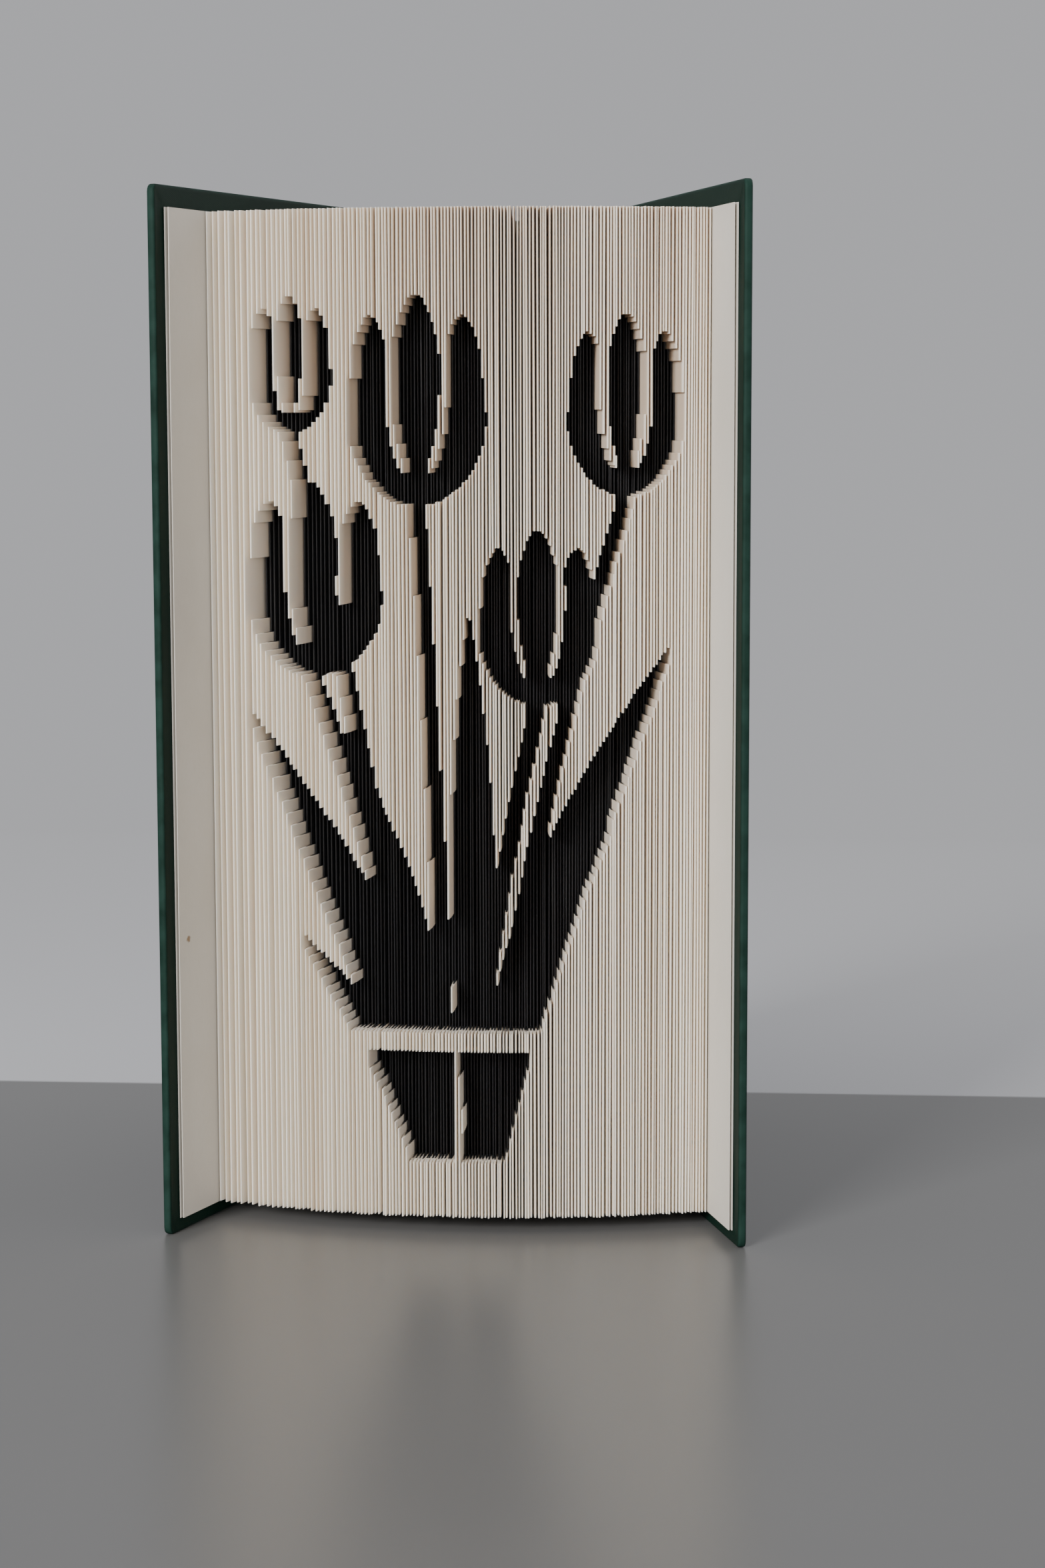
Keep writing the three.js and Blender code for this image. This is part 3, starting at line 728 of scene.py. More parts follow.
@dataclass
class FoldedLeaves:
    """The text block: folded leaves that fan out, each with its own cuts, thickness and slight waver."""

    plan: BookPlan
    picture: TulipPicture = field(default_factory=TulipPicture)
    fold_half: float = 0.18 * MM
    sheet_half: float = 0.11 * MM
    back_half: float = 0.085 * MM
    nose: float = 0.32 * MM
    tuck: float = 7.5 * MM
    belly: float = 3.6 * MM
    groove: float = 16 * MM
    flap: float = 19 * MM
    spacing_jitter: float = 0.9
    swell_limit: float = 0.62 * MM
    close_room: float = 0.34 * MM
    depth_jitter: float = 0.34 * MM
    tail_jitter: float = 0.42 * MM
    waver: float = 0.07 * MM
    row_step: float = 18 * MM
    row_clearance: float = 5 * MM
    cluster: int = 3
    cluster_spare: int = 4
    waver_rate: float = 38
    steady_leaves: int = 3
    back_sink: float = 0.05 * MM
    weld: float = 1e-6
    seed: int = 11

    def profile(self) -> tuple[np.ndarray, np.ndarray, np.ndarray]:
        """Half of a leaf's section, mirrored into a loop that ends where it starts.

        Returns:
            For the pale and for the tucked state, rows of depth, sideways offset, and 1 at the spine end.
            Then how far each point swells to fill the room between its neighbours, as a share of it.
        """
        half, nose, tuck = self.fold_half, self.nose, self.tuck
        shared = [
            (0, self.back_half, 1, 0),
            (self.flap + 2 * MM, self.sheet_half, 0, 0),
            (self.flap, half, 0, 0),
            (self.groove, 0, 0, 0.8),
            (tuck + 2 * self.belly, 0, 0, 0.85),
        ]
        front = [
            (self.belly, 0.0, 0, 0.93),
            (0.4 * self.belly, 0.75 * half, 0, 0.25),
            (nose, half, 0, 0),
            (0.3 * nose, 0.72 * half, 0, 0),
            (0.07 * nose, 0.36 * half, 0, 0),
        ]
        loops = []
        for start in (0.0, tuck):
            way = shared + [(start + depth, side, end, fill) for depth, side, end, fill in front]
            left = [(depth, -side, end, -fill) for depth, side, end, fill in way]
            loops.append(np.array(left + [(start, 0.0, 0.0, 0.0)] + way[::-1] + [left[0]]))
        fill = np.zeros((len(loops[0]), 3))
        fill[:, 0] = loops[0][:, 3]
        return loops[0][:, :3], loops[1][:, :3], fill

    def rows(self, share: float, tail: float, head: float) -> list[Triple]:
        """The levels that one leaf is built on.

        Args:
            share: The leaf's place across the block.
            tail: Its lower end.
            head: Its upper end.

        Returns:
            Rows of height, 1 where tucked, and 0 where the section closes.
        """
        stretches = self.picture.stretches(share, self.plan)
        heights = np.arange(tail + self.row_step, head - self.row_clearance, self.row_step)
        levels = [(level, 0.0) for level in heights]
        for low, high in stretches:
            levels = [(z, 1.0 if low < z < high else state) for z, state in levels]
            levels = [(z, state) for z, state in levels if min(abs(z - low), abs(z - high)) > MM]
        marks = [(tail, 0, 0.0, 0.0), (tail, 1, 0.0, 1.0), (head, 0, 0.0, 1.0), (head, 1, 0.0, 0.0)]
        marks += [(z, 0, state, 1.0) for z, state in levels]
        for low, high in stretches:
            marks += [(low, 0, 0.0, 1.0), (low, 1, 1.0, 1.0), (high, 0, 1.0, 1.0), (high, 1, 0.0, 1.0)]
        return [(z, state, open_) for z, _, state, open_ in sorted(marks)]

    def half_gaps(self, turns: np.ndarray) -> np.ndarray:
        """Half the distance from each fold to its nearer neighbour, from their angles on the fore-edge."""
        gaps = np.diff(turns) * self.plan.fore_radius / 2
        return np.minimum(np.append(gaps[0], gaps), np.append(gaps, gaps[-1]))

    def spacing(self, chance: np.random.Generator) -> tuple[np.ndarray, np.ndarray, np.ndarray]:
        """Sets the folds along the fore-edge in loose clusters.

        Args:
            chance: Where the random shifts come from.

        Returns:
            For each leaf the angle of its fold, the room beside it, and how open its groove is to light.
        """
        plan, width, spare = self.plan, self.cluster, self.cluster_spare
        count = plan.leaf_count
        rough = chance.normal(0, 1, count + 2 * spare)
        together = np.convolve(rough, np.ones(width) / width, mode="same")[spare : count + spare]
        shift = np.clip(1.5 * together, -1, 1) * self.spacing_jitter
        shift[[0, -1]] = 0
        turns = np.array([plan.fold_share(leaf) for leaf in range(count)])
        turns *= plan.fore_half_angle - self.fold_half / plan.fore_radius
        even = self.half_gaps(turns)
        turns += shift * np.maximum(even - self.fold_half, 0) / plan.fore_radius
        rooms = np.minimum(self.half_gaps(turns), self.swell_limit)
        return turns, rooms, np.minimum(1, (self.close_room / even) ** 4)

    def table(self) -> tuple[bpy.types.Object, int, int]:
        """The rule that the node tree reads: the profile's points, then every row of every leaf.

        Returns:
            A mesh of loose points with attributes, the profile's length, and the rows of each leaf.
        """
        plan = self.plan
        chance = np.random.default_rng(self.seed)
        count = plan.leaf_count
        pale, tucked, fill = self.profile()
        turns, rooms, crowding = self.spacing(chance)
        scale = np.clip(chance.normal(1, 0.1, count), 0.8, 1.2)
        back_in = self.depth_jitter * chance.random(count) ** 1.5
        tone = chance.random(count) ** 1.6
        lift = self.tail_jitter * chance.random(count)
        drop = 0.25 * self.tail_jitter * chance.random(count)
        phase = chance.random(count) * 2 * math.pi
        leaves = []
        for leaf in range(count):
            tail, head = plan.block_tail + lift[leaf], plan.block_head - drop[leaf]
            leaves.append(self.rows(plan.fold_share(leaf), tail, head))
        length = max(len(rows) for rows in leaves)
        names = ("spot", "inward", "across", "state", "look")
        columns: dict[str, list[Triple]] = {name: [] for name in names}
        for leaf, rows in enumerate(leaves):
            rows = rows + [rows[-1]] * (length - len(rows))
            fore = np.array([math.sin(turns[leaf]), -math.cos(turns[leaf])]) * plan.fore_radius
            fore += [0, plan.fore_centre]
            x = plan.back_share(leaf) * plan.back_half
            back = np.array([x, plan.back_centre + math.sqrt(plan.back_radius**2 - x**2) - self.back_sink])
            reach = float(np.linalg.norm(back - fore))
            inward = (back - fore) / reach
            across = np.array([inward[1], -inward[0]])
            steadied = min(min(leaf, count - 1 - leaf) / self.steady_leaves, 1)
            for z, state, open_ in rows:
                sway = self.waver * math.sin(z * self.waver_rate + phase[leaf]) * steadied
                spot = fore + inward * back_in[leaf] + across * sway
                columns["spot"].append((spot[0], spot[1] + plan.row_y, z))
                columns["inward"].append((*inward, 0))
                columns["across"].append((*across, 0))
                columns["state"].append((state, open_ * scale[leaf], reach - back_in[leaf]))
                columns["look"].append((tone[leaf], rooms[leaf], crowding[leaf]))
        blank, rest = np.zeros((len(pale), 3)), np.zeros((count * length, 3))
        holder = plain_mesh("leaf_rule", np.vstack([blank, np.array(columns.pop("spot"))]), [])
        for name, values in {"pale": pale, "tucked": tucked, "fill": fill}.items():
            store(holder, name, np.vstack([values, rest]))
        for name, rows in columns.items():
            store(holder, name, np.vstack([blank, np.array(rows)]))
        return holder, len(pale), length

    def tree(self) -> bpy.types.NodeTree:
        """Geometry nodes that weave the rule's points into one closed shell for each leaf."""
        inputs = {"Leaves": "Int", "Rows": "Int", "Profile points": "Int"}
        inputs |= {"Weld distance": "Float", "Paper": "Material"}
        graph, given = growth("folded_leaf_rows", inputs)
        size = given["Profile points"]
        index = graph.out("GeometryNodeInputIndex")

        def quotient(divisor: Any) -> Socket:
            """The index divided by a whole number, without its rest."""
            return graph.math("FLOOR", graph.math("DIVIDE", graph.math("ADD", index, 0.5), divisor))

        def look_up(value: Any, at: Any) -> Socket:
            """A vector at one point of the rule."""
            source = {"Geometry": given["Geometry"], "Value": value, "Index": at}
            return graph.out("GeometryNodeSampleIndex", source, data_type="FLOAT_VECTOR")

        def sample(name: str, at: Any) -> Socket:
            """A stored vector at one point of the rule."""
            stored = graph.out("GeometryNodeInputNamedAttribute", {"Name": name}, data_type="FLOAT_VECTOR")
            return look_up(stored, at)

        def part(vector: Any, axis: str) -> Socket:
            """One number of a vector."""
            return graph.add("ShaderNodeSeparateXYZ", {0: vector}).outputs[axis]

        total = graph.math("MULTIPLY", given["Leaves"], given["Rows"])
        grid = graph.out("GeometryNodeMeshGrid", {"Vertices X": total, "Vertices Y": size})
        row = quotient(size)
        column = graph.math("SUBTRACT", index, graph.math("MULTIPLY", row, size))
        place = graph.math("ADD", row, size)
        spot = look_up(graph.out("GeometryNodeInputPosition"), place)
        state = sample("state", place)
        tucked = part(state, "X")
        pale_way = graph.vector("SCALE", sample("pale", column), graph.math("SUBTRACT", 1.0, tucked))
        tuck_way = graph.vector("SCALE", sample("tucked", column), tucked)
        way = graph.vector("ADD", pale_way, tuck_way)
        depth = graph.math("ADD", part(way, "X"), graph.math("MULTIPLY", part(way, "Z"), part(state, "Z")))
        look = sample("look", place)
        swell = graph.math("MULTIPLY", part(sample("fill", column), "X"), part(look, "Y"))
        aside = graph.math("MULTIPLY", graph.math("ADD", part(way, "Y"), swell), part(state, "Y"))
        inward = graph.vector("SCALE", sample("inward", place), depth)
        across = graph.vector("SCALE", sample("across", place), aside)
        put = graph.vector("ADD", spot, graph.vector("ADD", inward, across))
        mesh = graph.out("GeometryNodeSetPosition", {"Geometry": grid, "Position": put})
        near = graph.math("LESS_THAN", depth, self.groove * 1.5)
        # Depth scaled by how close the folds stand: it sets the painted shade in the grooves.
        painted_shade_depth = graph.math("MULTIPLY", depth, part(look, "Z"))
        values = {"tone": part(look, "X"), "ink": graph.math("MULTIPLY", tucked, near), "depth": painted_shade_depth}
        for name, value in values.items():
            sockets = {"Geometry": mesh, "Name": name, "Value": value}
            settings = {"data_type": "FLOAT", "domain": "POINT"}
            mesh = graph.out("GeometryNodeStoreNamedAttribute", sockets, **settings)
        face_row = quotient(graph.math("SUBTRACT", size, 1))
        turn = graph.math("MODULO", graph.math("ADD", face_row, 1.0), given["Rows"])
        between = graph.math("LESS_THAN", turn, 0.5)
        cut = graph.out("GeometryNodeDeleteGeometry", {"Geometry": mesh, "Selection": between}, domain="FACE")
        sockets = {"Geometry": cut, "Distance": given["Weld distance"]}
        welded = graph.out("GeometryNodeMergeByDistance", sockets)
        real = graph.out("GeometryNodeRealizeInstances", {"Geometry": welded})
        dressed = graph.out("GeometryNodeSetMaterial", {"Geometry": real, "Material": given["Paper"]})
        graph.add("NodeGroupOutput", {"Geometry": dressed})
        return graph.tree

    def build(self, paper: bpy.types.Material) -> bpy.types.Object:
        """Builds the leaves as one mesh that rides on the root body."""
        holder, size, rows = self.table()
        values = {
            "Leaves": self.plan.leaf_count,
            "Rows": rows,
            "Profile points": size,
            "Weld distance": self.weld,
            "Paper": paper,
        }
        piece = grown(holder, self.tree(), values, "folded_leaves")
        drop_loose(piece)
        outward(piece)
        smooth(piece, 40)
        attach(piece, "root")
        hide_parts("text_block")
        return piece


def grown(
    holder: bpy.types.Object, tree: bpy.types.NodeTree, values: dict[str, Any], name: str
) -> bpy.types.Object:
    """Runs a node tree on an object and keeps the result as a plain mesh.

    Args:
        holder: The object that the tree reads. It is removed afterwards.
        tree: The tree.
        values: Socket name to value.
        name: The new object's name.

    Returns:
        The new object.
    """
    modifier = holder.modifiers.new("rule", "NODES")
    modifier.node_group = tree
    sockets = {item.name: item.identifier for item in tree.interface.items_tree if item.in_out == "INPUT"}
    for key, value in values.items():
        modifier[sockets[key]] = value
    bpy.context.view_layer.update()
    graph = bpy.context.evaluated_depsgraph_get()
    result = holder.evaluated_get(graph)
    mesh = bpy.data.meshes.new_from_object(result, preserve_all_data_layers=True, depsgraph=graph)
    holder.modifiers.remove(modifier)
    bpy.data.objects.remove(holder)
    mesh.name = name
    piece = bpy.data.objects.new(name, mesh)
    bpy.context.scene.collection.objects.link(piece)
    return piece


def drop_loose(piece: bpy.types.Object) -> None:
    """Removes edges without a face, and points without an edge."""
    edit = bmesh.new()
    edit.from_mesh(piece.data)
    bmesh.ops.delete(edit, geom=[edge for edge in edit.edges if not edge.link_faces], context="EDGES")
    bmesh.ops.delete(edit, geom=[vertex for vertex in edit.verts if not vertex.link_edges], context="VERTS")
    edit.to_mesh(piece.data)
    edit.free()


@dataclass
class Endpaper:
    """One endpaper: the sheet glued to the cover, folded at the joint into the free flyleaf."""

    plan: BookPlan
    side: Side
    fore_square: float = 3.9 * MM
    flyleaf_short: float = 0.3 * MM
    glued_middle: float = 0.1 * MM
    flyleaf_middle: float = -0.425 * MM
    half: float = 0.1 * MM
    curl: float = 0.12 * MM
    wave: float = 0.05 * MM
    wave_rate: float = 60
    wave_lean: float = 9
    worn_fore: float = 2.5 * MM
    worn_end: float = 2 * MM
    glued_start: float = 1.5 * MM
    free_start: float = 1.8 * MM
    fold_place: float = 1.1 * MM
    fold_reach: float = 0.5 * MM
    columns: int = 26
    rows: int = 40

    def path(self, share: float) -> np.ndarray:
        """The sheet's middle line at one height.

        Args:
            share: Height as a share of the sheet, from 0 to 1.

        Returns:
            Rows of distance along the cover and distance outwards.
        """
        end = self.plan.cover_width - self.fore_square
        glued = np.linspace(end, self.glued_start, self.columns)
        first = np.stack([glued, np.full(self.columns, self.glued_middle)], axis=1)
        turn = np.linspace(0.25 * math.pi, 0.75 * math.pi, 4)
        radius = (self.glued_middle - self.flyleaf_middle) / 2
        middle = (self.glued_middle + self.flyleaf_middle) / 2
        fold = self.fold_place - self.fold_reach * np.sin(turn)
        bend = np.stack([fold, middle + radius * np.cos(turn)], axis=1)
        free = np.linspace(self.free_start, end - self.flyleaf_short, self.columns)
        lean = self.curl * smoothstep((free - 0.85 * end) / (0.15 * end)) * smoothstep((share - 0.72) / 0.28)
        wave = self.wave * np.sin(free * self.wave_rate + share * self.wave_lean)
        wave *= smoothstep((free - 0.88 * end) / (0.1 * end))
        last = np.stack([free, self.flyleaf_middle - lean - np.abs(wave)], axis=1)
        return np.vstack([first, bend, last])

    def build(self, paper: bpy.types.Material) -> bpy.types.Object:
        """Builds the sheet."""
        plan = self.plan
        rings, edges = [], []
        height = plan.block_head - plan.block_tail
        for share in np.linspace(0, 1, self.rows):
            path = self.path(float(share))
            along = np.gradient(path, axis=0)
            along /= np.linalg.norm(along, axis=1, keepdims=True)
            normal = np.stack([-along[:, 1], along[:, 0]], axis=1)
            ring = np.vstack([path + self.half * normal, (path - self.half * normal)[::-1]])
            z = plan.block_tail + share * height
            rings.append(plan.on_cover(self.side, ring[:, 0], ring[:, 1], np.full(len(ring), z)))
            far = 1 - smoothstep((plan.cover_width - self.fore_square - ring[:, 0]) / self.worn_fore)
            ends = 1 - smoothstep(min(share, 1 - share) * height / self.worn_end)
            edges.append(np.maximum(far, ends))
        piece = sheet(f"{self.side.label}_endpaper", rings, "edge", edges)
        smooth(piece, 40)
        piece.data.materials.append(paper)
        start = plan.hinge_point(self.side, 0, self.flyleaf_middle + self.half)
        end = plan.hinge_point(self.side, 0, self.glued_middle - self.half)
        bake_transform(piece)
        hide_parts(f"{self.side.label}_pastedown", f"{self.side.label}_flyleaf")
        return piece


@dataclass
class CaseCloth:
    """The covering cloth of one board, turned in round it, with the strip that bends at the joint."""

    plan: BookPlan
    side: Side
    edge_radius: float = 0.62 * MM
    board_start: float = 5.2 * MM
    slope: float = 1.6 * MM
    strip_inside: float = 0.3 * MM
    strip_outside: float = 0.55 * MM
    strip_places: tuple[float, ...] = (1.2, 1.8, 2.6, 3.4)
    inside_places: tuple[float, ...] = (4.8, 4.2, 3.4, 2.6, 1.8, 1.2)
    wall_inside: Pairs = ((15.16, -0.52), (14.74, 0.0), (14.48, 0.6), (14.40, 1.2), (14.40, 2.0))
    wall_outside: Pairs = ((14.62, 2.0), (14.62, 1.2), (14.72, 0.6), (15.05, 0.12), (15.42, -0.32))
    wear_and_highlight_start: float = 0.1 * MM
    wear_and_highlight_reach: float = 0.9 * MM
    fold_ridge: float = 0.12 * MM
    fold_ridge_start: float = 0.5 * MM
    turn_in: float = 15 * MM
    bend_start: float = -0.6 * MM
    bend_end: float = 0.9 * MM
    edge_steps: tuple[float, ...] = (0, 0.03, 0.1, 0.22, 0.38, 0.62, 1.0, 1.6, 2.2, 2.8, 3.4, 4.2, 5.2, 8, 14)

    def heights(self) -> np.ndarray:
        """The levels of the rings, close together at head and tail."""
        top = self.plan.cover_height
        steps = np.array(self.edge_steps) * MM
        middle = np.linspace(steps[-1], top - steps[-1], 22)[1:-1]
        return np.concatenate([steps, middle, (top - steps)[::-1]])

    def ring(self, z: float) -> tuple[np.ndarray, np.ndarray]:
        """The cloth's section at one height.

        Args:
            z: The height.

        Returns:
            Rows of distance along and outwards, and how much each point is paled, by being worn and by a
            painted edge highlight.
        """
        plan = self.plan
        end_gap = min(z, plan.cover_height - z)
        inset = rounding(plan.cover_corner, end_gap)
        fore = plan.cover_width - inset
        steps = np.array(self.edge_steps) * MM
        board = np.linspace(self.board_start, fore - steps[-1], 16)
        outer_along = np.concatenate([board[:-1], (fore - steps)[::-1]])
        fore_gap = fore - outer_along
        round_gap = np.minimum(fore_gap, end_gap)
        eased = rounding(self.edge_radius, round_gap)
        outer = np.stack([outer_along, plan.cloth_outside - eased], axis=1)
        lap = np.where(fore_gap < end_gap, self.fold_ridge, 0)
        lap = lap * smoothstep((round_gap - self.fold_ridge_start) / MM) * (end_gap < self.turn_in)
        inner = np.stack([outer_along, plan.cloth_inside + eased + lap], axis=1)[::-1]
        slopes = np.linspace(0, 1, 6)[1:-1]
        bank_top = plan.cloth_outside - rounding(self.edge_radius, end_gap)
        bank_out = bank_top + (self.strip_outside - bank_top) * smoothstep(slopes)
        bank = np.stack([self.board_start - self.slope * slopes, bank_out], axis=1)
        inside = self.flat_row(self.inside_places, self.strip_inside)
        walls = self.beside_spine(self.wall_inside + self.wall_outside)
        strip = self.flat_row(self.strip_places, self.strip_outside)
        ring = np.vstack([bank[::-1], outer, inner, inside, walls, strip])
        gap = np.minimum(np.abs(fore - ring[:, 0]), end_gap)
        # How pale each point is near the edges: worn cloth, and a painted highlight along the board edges.
        wear_and_highlight = 0.8 * (1 - smoothstep((gap - self.wear_and_highlight_start) / self.wear_and_highlight_reach))
        wear_and_highlight[: len(bank)] *= 0.5
        return ring, wear_and_highlight

    @staticmethod
    def flat_row(places: tuple[float, ...], out: float) -> np.ndarray:
        """Points at one distance outwards, their places along the cover given in millimetres."""
        along = np.array(places) * MM
        return np.stack([along, np.full(len(along), out)], axis=1)

    def beside_spine(self, places: Pairs) -> np.ndarray:
        """Points beside the spine, given from the book's middle in millimetres, as points of the cover."""
        x, y = np.array(places).T * MM
        x = x - self.plan.hinge_half
        sine, cosine = math.sin(self.plan.open_angle), math.cos(self.plan.open_angle)
        return np.stack([x * sine - y * cosine, x * cosine + y * sine], axis=1)

    def build(self, cloth: bpy.types.Material) -> bpy.types.Object:
        """Builds the cloth."""
        plan = self.plan
        rings, wear_and_highlight_rows, flats = [], [], []
        for z in self.heights():
            ring, wear_and_highlight = self.ring(float(z))
            rings.append(plan.on_cover(self.side, ring[:, 0], ring[:, 1], np.full(len(ring), z)))
            wear_and_highlight_rows.append(wear_and_highlight)
            flats.append(np.stack([ring[:, 0] + ring[:, 1], np.full(len(ring), z)], axis=1))
        piece = sheet(f"{self.side.label}_case_cloth", rings, "wear_and_highlight", wear_and_highlight_rows)
        flat_coordinates(piece, np.concatenate(flats))
        smooth(piece, 35)
        piece.data.materials.append(cloth)
        start = plan.hinge_point(self.side, self.bend_start, 0)
        end = plan.hinge_point(self.side, self.bend_end, 0)
        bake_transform(piece)
        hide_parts(f"{self.side.label}_cover_cloth")
        return piece


@dataclass
class SpineCloth:
    """The cloth over the spine, folded in over the card at head and tail."""

    plan: BookPlan
    half: float = 14.6 * MM
    fillet: float = 0.7 * MM
    foot: float = 0.5 * MM
    cloth: float = 0.25 * MM
    build_up: float = 1.5 * MM
    turn_in: float = 15 * MM
    edge_radius: float = 0.55 * MM
    wall: float = 0.25 * MM
    wear_and_highlight_reach: float = 1.6 * MM
    worn_corner: float = 0.5 * MM
    worn_above: float = 2.2 * MM
    edge_steps: tuple[float, ...] = (0, 0.04, 0.14, 0.32, 0.55, 1.2, 4, 9, 14.9)

    def ring(self, z: float, turned: bool) -> np.ndarray:
        """The section at one height: the outer face from joint to joint, and back inside it."""
        plan = self.plan
        eased = rounding(self.edge_radius, min(z, plan.cover_height - z))
        outer_radius = plan.back_radius + plan.spine_build - eased * 0.9
        thickness = (self.build_up - 1.8 * eased) if turned else self.cloth
        half = self.half - 0.3 * eased
        outer = self.section(half, outer_radius, self.fillet)
        inner = self.section(half - self.wall + 0.25 * eased, outer_radius - thickness, self.fillet * 0.6)
        return np.vstack([outer, inner[::-1]])

    def section(self, half: float, radius: float, fillet: float) -> np.ndarray:
        """One line round the spine, from the foot of one side to the foot of the other."""
        plan = self.plan
        top = plan.back_centre + math.sqrt(radius**2 - half**2)
        side = [(half, self.foot), (half, 0.45 * (top - fillet) + 0.55 * self.foot), (half, top - fillet)]
        turn = [
            (half - fillet * (1 - math.cos(a)), top - fillet * (1 - math.sin(a)))
            for a in np.linspace(0, math.pi / 2, 5)[1:-1]
        ]
        reach = math.asin((half - fillet) / radius)
        arc = plan.round_back(radius, np.linspace(reach, -reach, 19))
        right = side + turn
        left = [(-x, y) for x, y in reversed(right)]
        return np.array(right + arc + left)

    def build(self, cloth: bpy.types.Material) -> bpy.types.Object:
        """Builds the spine's cloth on the root body."""
        plan = self.plan
        steps = np.array(self.edge_steps) * MM
        low = [(float(z), True) for z in steps]
        high = [(plan.cover_height - z, turned) for z, turned in reversed(low)]
        inner_low, inner_high = self.turn_in, plan.cover_height - self.turn_in
        middle = [(float(z), False) for z in np.linspace(inner_low, inner_high, 14)]
        levels = low + [(inner_low, True)] + middle + [(inner_high, True)] + high
        rings, wear_and_highlight_rows, flats = [], [], []
        for z, turned in levels:
            ring = self.ring(z, turned)
            size = len(ring) // 2
            gap = min(z, plan.cover_height - z)
            steps_along = np.linalg.norm(np.diff(ring[:size], axis=0), axis=1)
            along = np.concatenate([[0], np.cumsum(steps_along)])
            along = np.concatenate([along, along[::-1]])
            corner = np.abs(np.abs(ring[:, 0]) - self.half) < self.worn_corner
            high_up = ring[:, 1] > self.worn_above
            wear_and_highlight = 0.95 * (1 - smoothstep(gap / self.wear_and_highlight_reach))
            wear_and_highlight = np.maximum(wear_and_highlight, 0.45 * (corner & high_up))
            rings.append(np.stack([ring[:, 0], ring[:, 1] + plan.row_y, np.full(len(ring), z)], axis=1))
            wear_and_highlight_rows.append(np.broadcast_to(wear_and_highlight, len(ring)))
            flats.append(np.stack([along, np.full(len(ring), z)], axis=1))
        piece = sheet("spine_case_cloth", rings, "wear_and_highlight", wear_and_highlight_rows)
        flat_coordinates(piece, np.concatenate(flats))
        smooth(piece, 35)
        piece.data.materials.append(cloth)
        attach(piece, "root")
        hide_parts("spine_cloth")
        return piece


class BandEnd(Enum):
    """Which end of the spine a sewn band is at: the sign of the way out of the block."""

    HEAD = 1
    TAIL = -1

    @property
    def label(self) -> str:
        """The band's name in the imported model."""
        return f"{self.name.lower()}band"


